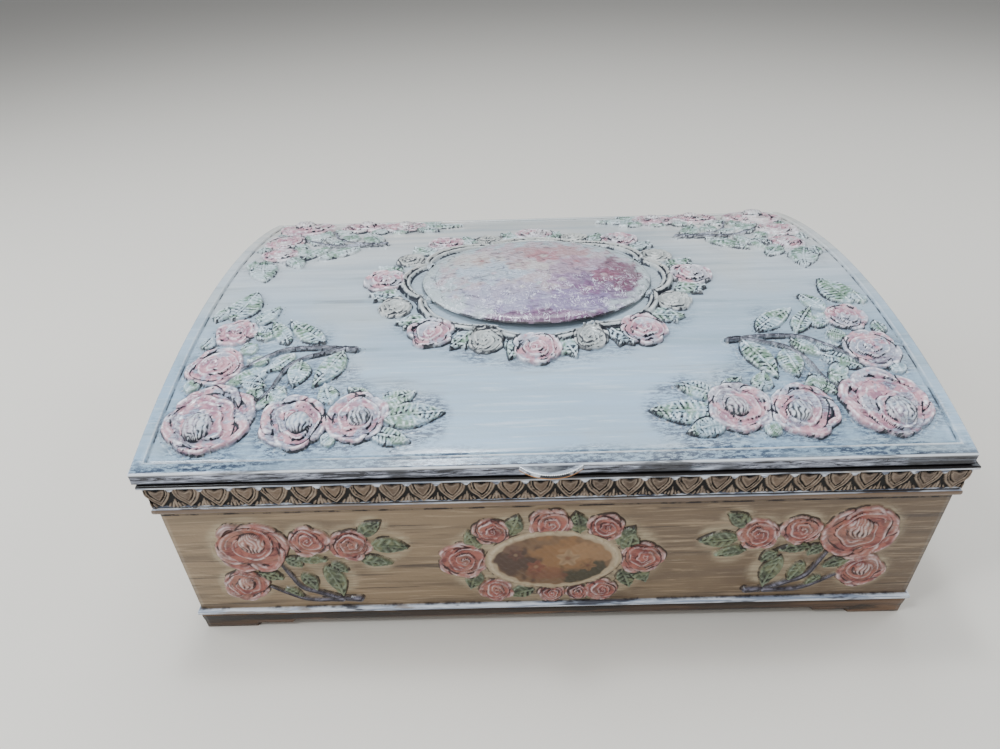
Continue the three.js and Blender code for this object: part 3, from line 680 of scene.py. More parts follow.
# %% The middle wreath
WREATH_PATCH = ((-75, 75), (-60, 61))
SEAT_HALF, SCROLL_HALF, SCROLL_TURN = (51.5, 40.5), (48.2, 37.2), 22.6
WREATH_PINK = [(-2.0, -46.6), (37.6, -37.4), (62.6, 0.4), (39.6, 41.6), (1, 53), (-38.8, 41.2),
               (-61.6, 2), (-40.4, -36.6)]
WREATH_CREAM = [(17.8, -41.4), (52.4, -19.4), (52.6, 20.6), (19.6, 46.4), (-19.4, 46.6), (-52.4, 22),
                (-55, -19.2), (-20.2, -41.6)]
WREATH_LEAVES = [(47.4, -29.4, -20), (28.4, -40.8, -64), (9.6, -45.6, -86), (60.0, -10.6, -8),
                 (60.4, 11.4, 14), (48.0, 32.6, 26), (29.4, 45.2, 56), (10.6, 50.6, 84)]


def oval_point(half_x, half_y, turn):
    """A point on an oval at a turn in radians."""
    return np.stack([half_x * np.cos(turn), half_y * np.sin(turn)], axis=-1)


def scroll(ground, middle, seed):
    """A rolled ribbon along a bowed arc of an oval: an outer rod, a dark groove inside it and a thinner rod
    along the groove's other side. Each end curls in and closes in a small whorl."""
    share = np.linspace(-1, 1, 90)
    turn = middle + np.radians(SCROLL_TURN) * share
    bow = 4.9 * np.cos(0.5 * np.pi * share) ** 0.75
    curl = 1.4 * ramp(0.84, 1, np.abs(share))
    curve = oval_point(*SCROLL_HALF, turn) + (bow - curl)[:, None] * oval_point(1, 1, turn)
    centre = curve.mean(axis=0)
    reach = np.abs(curve - centre).max()
    part, dx, dy = ground.window(centre, reach)
    distance, which, side = along_path(dx, dy, curve - centre)
    radius = (1.45 + 0.7 * np.cos(0.5 * np.pi * share) ** 0.5)[which]
    offset = distance / radius
    inward = side * offset
    rods = np.maximum(np.sqrt(np.clip(1 - ((inward + 0.38) / 0.62) ** 2, 0, None)),
                      0.7 * np.sqrt(np.clip(1 - ((inward - 0.62) / 0.38) ** 2, 0, None)))
    shape = 0.9 + 1.7 * rods
    wander = 0.75 + 0.4 * np.sin(0.33 * which + seed)
    rim = np.clip((bump(inward + 0.45, 0.2) + 0.8 * bump(inward - 0.66, 0.16)) * wander, 0, 1)
    dark = np.clip(bump(inward - 0.24, 0.19) + 0.7 * bump(inward + 0.9, 0.14), 0, 1)
    tan = 0.4 * bump(inward + 0.08, 0.16)
    ground.lay(part, radius - distance, shape, cream=0.55 + tan, rose=tan, rim=rim, crevice=dark, line=0.6)
    for end, step in ((0, 1), (-1, -1)):
        heading = curve[end] - curve[end + 4 * step]
        inward_end = curve[end] * (1 - 1.4 / np.hypot(*curve[end])) - 1.1 * heading / np.hypot(*heading)
        whorl(ground, inward_end, 2.3, 0.9, 2.0, (0, 0), 1.5, 1, seed, 0.0)


def wreath_carving(step):
    """The whole ring on one patch: the plaque's seat, leaves, scrolls, rosettes and roses."""
    ground = Carving(*WREATH_PATCH, step)
    whole = (slice(None), slice(None))
    seat = np.hypot(ground.x / SEAT_HALF[0], ground.y / SEAT_HALF[1])
    ground.lay(whole, (1 - seat) * 40, 0.5 + 0 * seat, crevice=0.1)
    number = 0
    for x, y, lean in WREATH_LEAVES:
        for side in (-1, 1):
            at = np.array([side * x, y])
            for spread, long in ((-34, 5.6), (16, 6.8)):
                turn = np.radians(lean + spread if side > 0 else 180 - lean - spread)
                half = long * np.array([np.cos(turn), np.sin(turn)])
                leaf(ground, at - half, at + half, 7.2, 1.5, 300 + number, veins=6)
                number += 1
    for i in range(8):
        scroll(ground, i * np.pi / 4, i)
    for i, at in enumerate(WREATH_CREAM):
        rose(ground, at, 6.6, 2.7, 400 + i, kind="ruffled", tint=0.0)
    for i, at in enumerate(WREATH_PINK):
        rose(ground, at, 8.8, 3.5, 500 + i, kind="small", lean=(0.05, -0.12))
    cream = np.zeros_like(seat)
    for at in WREATH_CREAM:
        cream = np.maximum(cream, ramp(7.6, 7.0, np.hypot(ground.x - at[0], ground.y - at[1])))
    clear = 1 - np.clip(ground.masks["rose"] + ground.masks["leaf"] + ground.masks["stem"], 0, 1)
    cream = 0.75 * cream * clear * ramp(0.3, 0.7, ground.height)
    ground.masks["cream"] = np.maximum(ground.masks["cream"], cream)
    ground.height += 0.06 * unevenness(ground.x, ground.y, 3.5, 60) * (ground.height > 0.8)
    dark_specks = ramp(0.6, 1.2, unevenness(ground.x, ground.y, 1.6, 61)) * (ground.height > 0.8)
    seat_specks = ramp(0.2, 1.0, unevenness(ground.x, ground.y, 1.3, 62)) * (seat > 0.9) * (seat < 1)
    ground.masks["crevice"] = np.clip(ground.masks["crevice"] + 0.5 * dark_specks, 0, 1) + 0.28 * seat_specks
    ground.near[seat < 0.9] = 0
    return ground


wreath = wreath_carving(0.33)
painted_lid.append(relief_piece("lid_wreath", wreath, on_lid, lid_halo))

# %% [markdown]
# ## The picture plaque
# The plaque is a low oval dome with a pale rolled rim. It is a polar grid: rings from the foot over the
# rim to the middle. Its painting is a generic garden of soft blossoms, kept in broad areas of colour, and
# lies in the vertices' own colours.

# %% The plaque's dome
def painting(x, y, seed, spots, ground_colour):
    """Soft blots of colour laid one over another: each spot is (x, y, radius x, radius y, strength, colour),
    with an outline that wanders."""
    colour = np.ones(x.shape + (3,)) * ground_colour
    for i, (sx, sy, rx, ry, strength, paint) in enumerate(spots):
        wander = 0.22 * unevenness(x, y, 9, seed + 3 * i) + 0.1 * unevenness(x, y, 3.2, seed + 3 * i + 1)
        share = np.hypot((x - sx) / rx, (y - sy) / ry) + wander
        cover = strength * ramp(1.12, 0.7, share)
        colour = colour + cover[..., None] * (np.asarray(paint) - colour)
    return colour


def blossoms(colour, x, y, flowers, seed):
    """Small open flowers of five petals in outline, over a painting. The outline is the size times
    0.85 + 0.2 * cos(5 * angle), and each petal is darkest at its sides."""
    for i, (fx, fy, size, paint, heart) in enumerate(flowers):
        distance, angle = np.hypot(x - fx, y - fy), np.arctan2(y - fy, x - fx)
        outline = size * (0.85 + 0.2 * np.cos(5 * angle + seed + i))
        cover = 0.8 * ramp(1.12, 0.85, distance / outline)
        shade = 0.66 + 0.5 * np.abs(np.sin(2.5 * angle + 0.5 * (seed + i))) * ramp(0.1, 0.9, distance / size)
        colour = colour + cover[..., None] * (np.asarray(paint) * shade[..., None] - colour)
        middle = 0.6 * ramp(0.32, 0.14, distance / size)
        colour = colour + middle[..., None] * (np.asarray(heart) - colour)
    return colour


def add_colours(piece, name, colours):
    """Store colours, one for each vertex, as a colour attribute."""
    attribute = piece.data.attributes.new(name, "FLOAT_COLOR", "POINT")
    rgba = np.concatenate([colours, np.ones((len(colours), 1))], axis=1)
    attribute.data.foreach_set("color", rgba.astype(np.float32).ravel())


def oval_dome(profile, half_x, half_y, rings, spokes):
    """Rings of an oval: profile gives height by share of the radius, from the foot at 1 in to the middle."""
    outer = 1 - 0.1 * np.linspace(0, 1, 14) ** 1.3
    shares = np.concatenate([[1.0], outer, np.linspace(0.9, 0.0, rings)[1:]])
    turn = np.linspace(0, 2 * np.pi, spokes, endpoint=False)
    share, angle = np.meshgrid(shares[:-1], turn, indexing="ij")
    x, y = half_x * share * np.cos(angle), half_y * share * np.sin(angle)
    z = np.interp(share, profile[0], profile[1])
    z[0] = profile[2]
    points = np.concatenate([np.stack([x, y, z], axis=-1).reshape(-1, 3), [[0, 0, profile[1][0]]]])
    index = np.arange(share.size).reshape(share.shape)
    ring = grid_faces(index.T, closed=True)[:, ::-1]
    last = index[-1]
    cap = np.stack([last, np.roll(last, -1), np.full(spokes, share.size)], axis=-1)
    return points, ring, cap, index[0][::-1]


SEAT_Z = CROWN_Z - FIELD_DROP + 0.5
PLAQUE_HALF = (46.0, 35.0)
plaque_profile = (
    [0.0, 0.3, 0.6, 0.8, 0.9, 0.94, 0.965, 0.982, 0.993, 1.0],
    np.array([3.95, 3.75, 3.25, 2.75, 2.42, 2.2, 1.9, 1.5, 1.05, 0.6]) + SEAT_Z,
    SEAT_Z + 0.3,
)
plaque_points, plaque_faces, plaque_cap, plaque_foot = oval_dome(
    plaque_profile, *PLAQUE_HALF, 96, 320
)
px, py = plaque_points[:, 0], plaque_points[:, 1]
plaque_share = np.hypot(px / PLAQUE_HALF[0], py / PLAQUE_HALF[1])
SOFT_PINK, ROSE_RED, CLOUD_BLUE = (0.52, 0.36, 0.38), (0.42, 0.14, 0.15), (0.40, 0.50, 0.58)
PALE_CELADON, VIOLET = (0.42, 0.48, 0.50), (0.17, 0.09, 0.19)
DEEP_WINE, CREAM, MARGIN = (0.15, 0.035, 0.07), (0.6, 0.55, 0.49), (0.46, 0.52, 0.52)
plaque_paint = painting(px, py, 900, [
    (0, 4, 40, 29, 0.7, SOFT_PINK), (-18, 2, 17, 11, 0.75, CLOUD_BLUE), (-26, 14, 12, 8, 0.6, CREAM),
    (6, 19, 17, 7, 0.75, (0.44, 0.24, 0.24)), (20, 4, 18, 10, 0.75, (0.36, 0.24, 0.32)),
    (24, -12, 18, 13, 0.9, VIOLET), (6, -25, 27, 10, 0.9, (0.24, 0.17, 0.32)),
    (34, -2, 10, 14, 0.8, DEEP_WINE), (-14, -18, 18, 11, 0.75, (0.36, 0.34, 0.46)),
    (-2, 6, 9, 5, 0.6, CREAM), (4, -34, 30, 5, 0.85, (0.2, 0.08, 0.16)),
], np.array(PALE_CELADON))
plaque_paint = blossoms(plaque_paint, px, py, [
    (4, 15, 7, (0.50, 0.22, 0.24), CREAM), (17, 9, 6.4, (0.48, 0.28, 0.34), ROSE_RED),
    (-7, 7, 5.4, (0.58, 0.42, 0.42), CREAM), (27, -3, 6, (0.32, 0.11, 0.17), SOFT_PINK),
    (-17, 0, 5, (0.50, 0.55, 0.60), SOFT_PINK), (10, -7, 6.6, (0.4, 0.26, 0.4), CREAM),
    (-22, 12, 4.4, (0.56, 0.42, 0.38), ROSE_RED), (-6, -12, 5, (0.46, 0.40, 0.52), CREAM),
    (20, -14, 5.6, (0.26, 0.11, 0.24), SOFT_PINK),
], 3)
front_share = ramp(-0.35, -0.8, py / PLAQUE_HALF[1])
margin = ramp(0.9, 0.94, plaque_share + 0.03 * unevenness(px, py, 8, 77)) * (1 - front_share)
plaque_paint = plaque_paint + margin[:, None] * (np.array(MARGIN) - plaque_paint)
lift = 0.045 * unevenness(px, py, 3.4, 31) + 0.045 * unevenness(px, py, 1.7, 32)
plaque_points[:, 2] += lift * ramp(0.985, 0.93, plaque_share)
plaque_points += [LID_X, LID_Y, 0]
plaque_groove = 0.5 * bump(plaque_share - 0.885, 0.008)
# crevice: black painted shade round the plaque's foot, and a dark line at its shoulder.
plaque_masks = {"crevice": np.maximum(ramp(0.99, 1.0, plaque_share), plaque_groove),
                "rim": bump(plaque_share - 0.965, 0.012)}
plaque = make_piece("plaque_dome", plaque_points, plaque_faces, plaque_masks,
                    extra_faces=[*plaque_cap, plaque_foot])
add_colours(plaque, "picture", plaque_paint)
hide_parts("picture_plaque")

# %% [markdown]
# ## The body's shell
# Every side of the body has the same mouldings, mitred at the corners, so one profile is carried round
# the rectangle: up the outside from the foot, over the rim flange and down the inside. Underneath, the
# lowest level rises between the feet, which leaves four brackets with a small step.

# %% The body's profile
WALL_FOOT, WALL_TOP = (2.8, 10.8), (2.2, 60.4)
OUTSIDE = [
    (5.0, 3.46, "base"), (5.0, 0.0, "base"), (2.9, 0.0, "base"), (2.62, 0.25, "base"), (2.55, 1.6, "base"),
    (2.5, 3.45, "base"), (2.45, 4.4, "base"), (2.3, 5.6, "base"), (2.2, 6.8, "base"), (2.2, 7.7, "base"),
    (2.3, 8.1, "line"), (1.85, 8.3, "bead"), (1.55, 8.7, "bead"), (1.4, 9.3, "bead"), (1.45, 9.9, "bead"),
    (1.65, 10.4, "bead"), (2.1, 10.72, "bead"), (2.8, 10.8, "wall"),
] + [
    (WALL_FOOT[0] + (WALL_TOP[0] - WALL_FOOT[0]) * t, WALL_FOOT[1] + (WALL_TOP[1] - WALL_FOOT[1]) * t, "wall")
    for t in np.linspace(0.008, 0.95, 33)
] + [
    (2.24, 58.4, "wall"), (2.23, 58.8, "wall"), (2.22, 59.2, "wall"), (2.21, 59.6, "wall"),
    (2.2, 60.4, "wall"),
    (2.1, 60.7, "ledge"), (1.3, 60.9, "ledge"), (0.85, 61.2, "ledge"), (0.65, 61.8, "ledge"),
    (0.62, 62.4, "ledge"), (0.75, 62.9, "ledge"), (0.95, 63.1, "bead"), (1.5, 63.45, "frieze"),
    (2.0, 63.6, "frieze"), (1.7, 66.8, "frieze"), (1.4, 69.8, "frieze"), (1.1, 72.8, "frieze"),
    (0.3, 72.95, "bead"), (-0.3, 73.1, "bead"), (-0.5, 73.35, "bead"), (-0.5, 73.85, "bead"),
    # The flange's outer face and top are zoned frieze, so that they take black painted shade under the lid's
    # edge.
    (-0.5, 74.0, "frieze"), (-0.38, 74.48, "frieze"), (-0.1, 74.6, "frieze"), (1.5, 74.6, "frieze"),
    (3.9, 74.6, "inside"),
    (4.3, 74.3, "inside"), (4.3, 50.0, "inside"), (4.3, 25.0, "inside"), (4.3, 6.8, "inside"),
    (4.8, 5.6, "inside"), (6.2, 5.0, "inside"),
]
FOOT_Z = 3.4
FOOT_ENDS = [(19.0, 2.0), (33.0, FOOT_Z)]
SHADOW_Z, BEAD_Z = (59.3, 10.95), (10.1, 73.5)


def wall_inset(z):
    """How far the wall's face lies inside the lid's outline at a height."""
    return np.interp(z, [WALL_FOOT[1], WALL_TOP[1]], [WALL_FOOT[0], WALL_TOP[0]])


def side_stops(half, step):
    """Stops along one side, from corner to corner, with pairs where a foot ends."""
    stops = set(np.round(np.linspace(-half, half, int(2 * half / step) + 1), 3))
    for reach, _ in FOOT_ENDS:
        for nudge in (-0.25, 0.25):
            stops |= {half - reach + nudge, -half + reach + nudge}
    return np.array(sorted(stops))


def rectangle_path(step):
    """The way round the rectangle as unit corners: x and y as shares of the half-sizes, and the distance to
    the nearest corner along the side."""
    along_x, along_y = side_stops(LID_HALF[0], step), side_stops(LID_HALF[1], step)
    sx, sy = along_x / LID_HALF[0], along_y / LID_HALF[1]
    ones_x, ones_y = np.ones(len(sx) - 1), np.ones(len(sy) - 1)
    x = np.concatenate([sx[:-1], ones_y, -sx[:-1], -ones_y])
    y = np.concatenate([-ones_x, sy[:-1], ones_x, -sy[:-1]])
    to_corner = [LID_HALF[0] - np.abs(along_x[:-1]), LID_HALF[1] - np.abs(along_y[:-1])]
    return x, y, np.concatenate(2 * to_corner)


FRONT_ROSES = [
    ((103.2, 43.2), 12.9, 2.4, (-0.1, 0.22), "full"), ((82.9, 45.8), 7.1, 2.1, (0.05, 0.16), "small"),
    ((69, 43.6), 7.6, 2.2, (-0.08, 0.14), "small"), ((108.4, 24.2), 8.4, 2.2, (-0.05, 0.18), "full"),
]
FRONT_LEAVES = [
    ((65, 48), (57, 54.6), 6.4), ((62.6, 43), (48.6, 41.8), 7.6), ((66.4, 37.2), (54.6, 34), 5.6),
    ((102.6, 31.8), (93.8, 27.2), 5.4), ((92, 38), (86.4, 33.4), 5), ((76.6, 35.2), (71.6, 30.4), 4.8),
    ((87.4, 29.4), (83.4, 20.8), 5.8), ((78.2, 33.4), (75, 17), 7.4), ((94.6, 21.8), (89.2, 17), 4.6),
    ((88, 37.6), (77, 36.6), 4.6),
]
FRONT_STEMS = [([(69.2, 15.3), (75.6, 15.8), (83.3, 19.4), (88.9, 22.4), (92, 28.9), (94.9, 36.6)], 1.2),
               ([(75.7, 15.2), (86.8, 15.4), (94.4, 19), (100, 22.6)], 1.05)]
OVAL_Z, OVAL_HALF, FRONT_RING_HALF = 33.6, (21.8, 13.6), (39, 25)
FRONT_WREATH = [
    ((-31.2, 34.4), 9), ((-21.2, 48.4), 6.6), ((-1.6, 51), 7.6), ((17, 49), 6.8), ((30.6, 33.8), 8.2),
    ((17.3, 17.3), 6), ((-0.5, 16), 4.9), ((-20.3, 18.2), 6.2), ((8.6, 16.4), 4.4),
]
FRONT_WREATH_LEAVES = [
    (-27.6, 44.6, 110), (-13.6, 51.4, 70), (7.8, 52, 100), (24.4, 45.2, 55), (-27.6, 24, 250),
    (-11.2, 17, 200), (10.8, 15.8, 340), (25.6, 23.2, 290), (25.6, 42.2, 80), (30.6, 25.4, 300),
]


def wall_halo(x, z, roses, leaves, oval):
    """How close a point of the wall is to the relief on it, 0 to 1, for the pale wash round it."""
    total = flower_glow(np.abs(x), z, roses, leaves, 1.5, 1.4)
    if oval:
        ring = np.hypot(x / FRONT_RING_HALF[0], (z - OVAL_Z) / FRONT_RING_HALF[1])
        total = np.maximum(total, bump(np.maximum(ring - 0.92, 0) * 32, 1.6))
    return total


BACK_ROSES, BACK_LEAVES, BACK_STEMS = FRONT_ROSES[:3], FRONT_LEAVES[:3], FRONT_STEMS[:1]
END_ROSES = [((0, 37), 10, 2.3, (0.04, 0.14), "full"), ((-19, 39), 7, 2.0, (-0.06, 0.12), "small"),
             ((19, 39), 7, 2.0, (0.06, 0.12), "small")]
END_LEAVES = [((-24, 42.4), (-38.5, 46), 7.6), ((-24, 36.6), (-40, 34.6), 7.6), ((24, 42.4), (38.5, 46), 7.6),
              ((24, 36.6), (40, 34.6), 7.6), ((-8, 29), (-19, 23.4), 6), ((8, 29), (19, 23.4), 6)]


def front_halo(x, z):
    """The wash on the front wall."""
    return wall_halo(x, z, FRONT_ROSES, FRONT_LEAVES, True)


def back_halo(x, z):
    """The wash on the back wall."""
    return wall_halo(x, z, BACK_ROSES, BACK_LEAVES, False)


def end_halo(y, z):
    """The wash on an end wall."""
    folded = [(np.abs(at), *rest) for at, *rest in END_ROSES]
    leaves = [(np.abs(base), np.abs(tip), width) for base, tip, width in END_LEAVES]
    return wall_halo(y, z, folded, leaves, False)


print("levels in the body's profile:", len(OUTSIDE))

# %% [markdown]
# The shell knows where each kind of finish lies: the grained wall, the dark base, the silvered beads, the
# tan ledge, the black ground behind the frieze, black painted shade on the flange under the lid's edge, and
# the plain inside. Its crevice mask holds dark lines of painted shade under the ledge and round the bottom
# bead.

# %% The body's shell
def body_shell(step):
    """The profile carried round the rectangle, with the underside and the floor as two flat faces."""
    x_share, y_share, to_corner = rectangle_path(step)
    arch = np.zeros_like(to_corner)
    for reach, height in FOOT_ENDS:
        arch = np.where(to_corner > reach, height, arch)
    points, zones = [], []
    for inset, z, zone in OUTSIDE:
        level = np.full_like(to_corner, z)
        if z < FOOT_Z:
            level = np.maximum(level, arch)
        half_x, half_y = LID_HALF - inset
        points.append(np.stack([x_share * half_x, y_share * half_y, level], axis=-1))
        zones.append(np.full(len(to_corner), zone))
    points, zones = np.array(points), np.array(zones)
    index = np.arange(zones.size).reshape(zones.shape)
    faces = grid_faces(index.T, closed=True)
    x, y, z = points[..., 0], points[..., 1], points[..., 2]
    front, back = np.isclose(y_share, -1), np.isclose(y_share, 1)
    halo = np.where(front, front_halo(x, z), np.where(back, back_halo(x, z), end_halo(y, z)))
    # Painted shade: dark lines under the ledge, at the wall's foot just above the bottom bead, and in the
    # crease under that bead.
    dark = np.maximum(0.75 * bump(z - SHADOW_Z[0], 0.4), 0.5 * bump(z - SHADOW_Z[1], 0.4))
    dark = np.maximum(dark, np.where(zones == "line", 1.0, 0.0))
    zone_masks = {"bare": "bead", "stem": "base", "cream": "frieze", "leaf": "inside", "rose": "ledge"}
    masks = {key: (zones == zone).ravel().astype(float) for key, zone in zone_masks.items()}
    masks["halo"] = np.where(zones == "wall", halo, 0).ravel()
    masks["crevice"] = dark.ravel()
    masks["rim"] = (bump(z - BEAD_Z[0], 0.5) + bump(z - BEAD_Z[1], 0.6)).ravel()
    points = points.reshape(-1, 3) + [BODY_X, BODY_Y, 0]
    return points, faces, masks, [index[0], index[-1][::-1]]


body_points, body_faces, body_masks, body_lids = body_shell(1.6)
body_piece = make_piece("body_shell", body_points, body_faces, body_masks, body_lids)
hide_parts("body")

# %% [markdown]
# ## The walls' flowers
# The walls carry flatter versions of the same flowers. A wall's patch is worked out facing forwards, and
# a quarter turn at a time takes it to the other sides.

# %% Placing a patch on a wall
def wall_place(side, mirror=1, base_inset=wall_inset):
    """A function that puts x, z and height on a wall: 0 front, 1 right, 2 back, 3 left."""
    out_half = LID_HALF[1] if side % 2 == 0 else LID_HALF[0]
    quarter = [(1, 0), (0, 1), (-1, 0), (0, -1)][side]

    def place(x, z, height):
        """x along the wall as seen from outside, z up, height outwards."""
        along, out = mirror * x, -(out_half - base_inset(z)) - height
        return np.stack([BODY_X + along * quarter[0] - out * quarter[1],
                         BODY_Y + along * quarter[1] + out * quarter[0], z], axis=-1)

    return place


def spray_carving(roses, leaves, stems, x_range, z_range, step, seed):
    """A spray on a wall's own patch."""
    ground = Carving(x_range, z_range, step)
    chance = np.random.default_rng(seed)
    for i, (base, tip, width) in enumerate(leaves):
        wander = chance.uniform(-0.5, 0.5, 4)
        leaf(ground, np.add(base, wander[:2]), np.add(tip, wander[2:]), width, 1.15, seed + i, veins=5)
    for i, (points, thick) in enumerate(stems):
        stem(ground, points, thick, seed + i, lift=0.35)
    for i, (at, radius, height, lean, kind) in reversed(list(enumerate(roses))):
        rose(ground, np.add(at, chance.uniform(-0.3, 0.3, 2)), radius, height, seed + 50 + i, lean, kind,
             heart=0.85)
    return ground


SPRAY_PATCH, END_PATCH = ((44, 120), (11.4, 59.4)), ((-44, 44), (18, 56))
painted_body = [body_piece]
fine = 0.32
coarse = 0.42
for name, mirror, seed in (("left", -1, 101), ("right", 1, 137)):
    ground = spray_carving(FRONT_ROSES, FRONT_LEAVES, FRONT_STEMS, *SPRAY_PATCH, fine, seed)
    painted_body.append(relief_piece(f"front_spray_{name}", ground, wall_place(0, mirror),
                                     front_halo, flip=mirror < 0))
    ground = spray_carving(BACK_ROSES, BACK_LEAVES, BACK_STEMS, *SPRAY_PATCH, coarse, seed + 40)
    painted_body.append(relief_piece(f"back_spray_{name}", ground, wall_place(2, mirror),
                                     back_halo, flip=mirror < 0))
for name, side, seed in (("right", 1, 211), ("left", 3, 251)):
    ground = spray_carving(END_ROSES, END_LEAVES, [], *END_PATCH, coarse, seed)
    painted_body.append(relief_piece(f"end_spray_{name}", ground, wall_place(side), end_halo))

# %% [markdown]
# On the front a small oval painting lies in a ring of nine roses. It is a low dome laid over the roses'
# inner sides, and its colours are kept in the vertices, so it needs no image.

# %% The front wreath
FRONT_PATCH, FRONT_SEAT_HALF = ((-43, 43), (11.2, 60.3)), (28, 19)


def front_wreath_carving(step):
    """The oval field, a rolled rim round it, and the wreath of roses and leaves."""
    ground = Carving(*FRONT_PATCH, step)
    whole = (slice(None), slice(None))
    share = np.hypot(ground.x / OVAL_HALF[0], (ground.y - OVAL_Z) / OVAL_HALF[1])
    ring = np.hypot(ground.x / FRONT_SEAT_HALF[0], (ground.y - OVAL_Z) / FRONT_SEAT_HALF[1])
    ground.lay(whole, (1 - ring) * 19, 0.35 + 0 * ring, crevice=0.35)
    for i, (x, z, degrees) in enumerate(FRONT_WREATH_LEAVES):
        half = 4.9 * np.array([np.cos(np.radians(degrees)), np.sin(np.radians(degrees))])
        leaf(ground, np.array([x, z]) - half, np.array([x, z]) + half, 7, 1.2, 600 + i, veins=5)
    for i, (at, radius) in enumerate(FRONT_WREATH):
        rose(ground, at, radius, 2.1, 640 + i, lean=(0.08, 0.1), kind="small")
    height = 0.45 + 0.9 * np.sqrt(np.clip(1.0 - share**2, 0, None)) + 0.3 * bump(share - 1.0, 0.06)
    height = height + 0.08 * unevenness(ground.x, ground.y, 3, 12)
    ground.lay(whole, (1.08 - share) * 14, height, rim=0.6 * bump(share - 1.01, 0.04),
               cream=ramp(0.86, 0.93, share + 0.03 * unevenness(ground.x, ground.y, 7, 9)))
    ground.masks["bare"] = ramp(0.95, 0.9, share + 0.03 * unevenness(ground.x, ground.y, 7, 9))
    return ground


def front_picture(x, z):
    """The small painting in the oval, in the vertices' own colours."""
    colour = painting(x, z, 700, [
        (-12, 34, 10, 10, 0.85, (0.045, 0.022, 0.016)), (3, 36, 12, 9, 0.8, (0.24, 0.12, 0.045)),
        (13, 38, 9, 6, 0.7, (0.30, 0.17, 0.08)), (12, 26, 10, 6, 0.85, (0.025, 0.028, 0.015)),
        (-2, 27, 8, 4, 0.6, (0.16, 0.055, 0.03)), (-14, 41, 5, 3, 0.6, (0.16, 0.09, 0.055)),
    ], np.array((0.16, 0.09, 0.045)))
    return blossoms(colour, x, z, [
        (5, 35, 4.2, (0.34, 0.22, 0.12), (0.16, 0.05, 0.02)),
        (-6, 31, 3.4, (0.2, 0.06, 0.035), (0.3, 0.18, 0.1)),
        (12, 31, 3, (0.24, 0.12, 0.05), (0.1, 0.03, 0.02)),
        (-13, 37, 3, (0.11, 0.045, 0.03), (0.25, 0.17, 0.1)),
    ], 5)


ground = front_wreath_carving(fine)
front_wreath = relief_piece("front_wreath", ground, wall_place(0), front_halo)
_, kept = covered(ground)
add_colours(front_wreath, "picture", front_picture(ground.x[kept], ground.y[kept]))
painted_body.append(front_wreath)

# %% [markdown]
# ## The frieze
# A row of hearts runs under the rim, each in a band like a shield's edge that is open at the top, with a
# three-lobed dart between each two. The pattern repeats along the side, so its height is a function of
# the distance within one repeat.

# %% The frieze's pattern
SHIELD_Z, SHIELD_HALF, SHIELD_SLOPE = 66.6, 3.0, 0.84
FRIEZE_Z, FRIEZE_INSET = (63.6, 72.75), (1.85, 0.95)
USUAL_PITCH, SHIELD_TOP_Z, DRIP_Z, SILL_Z, DART_Z = 9.36, 72.1, 70.9, 63.85, 63.5


def shield_distance(a, b):
    """About how far a point is outside a shield, whose half-width is half * tanh(slope b / half) above its
    foot and goes on as a straight V below it."""
    above = np.maximum(b, 0)
    half = SHIELD_HALF * np.tanh(SHIELD_SLOPE * above / SHIELD_HALF) + SHIELD_SLOPE * np.minimum(b, 0)
    half = half * (1 - 0.07 * ramp(3.6, 6, b))
    tilt = SHIELD_SLOPE / np.cosh(SHIELD_SLOPE * above / SHIELD_HALF) ** 2
    return (np.abs(a) - half) / np.sqrt(1 + tilt**2)


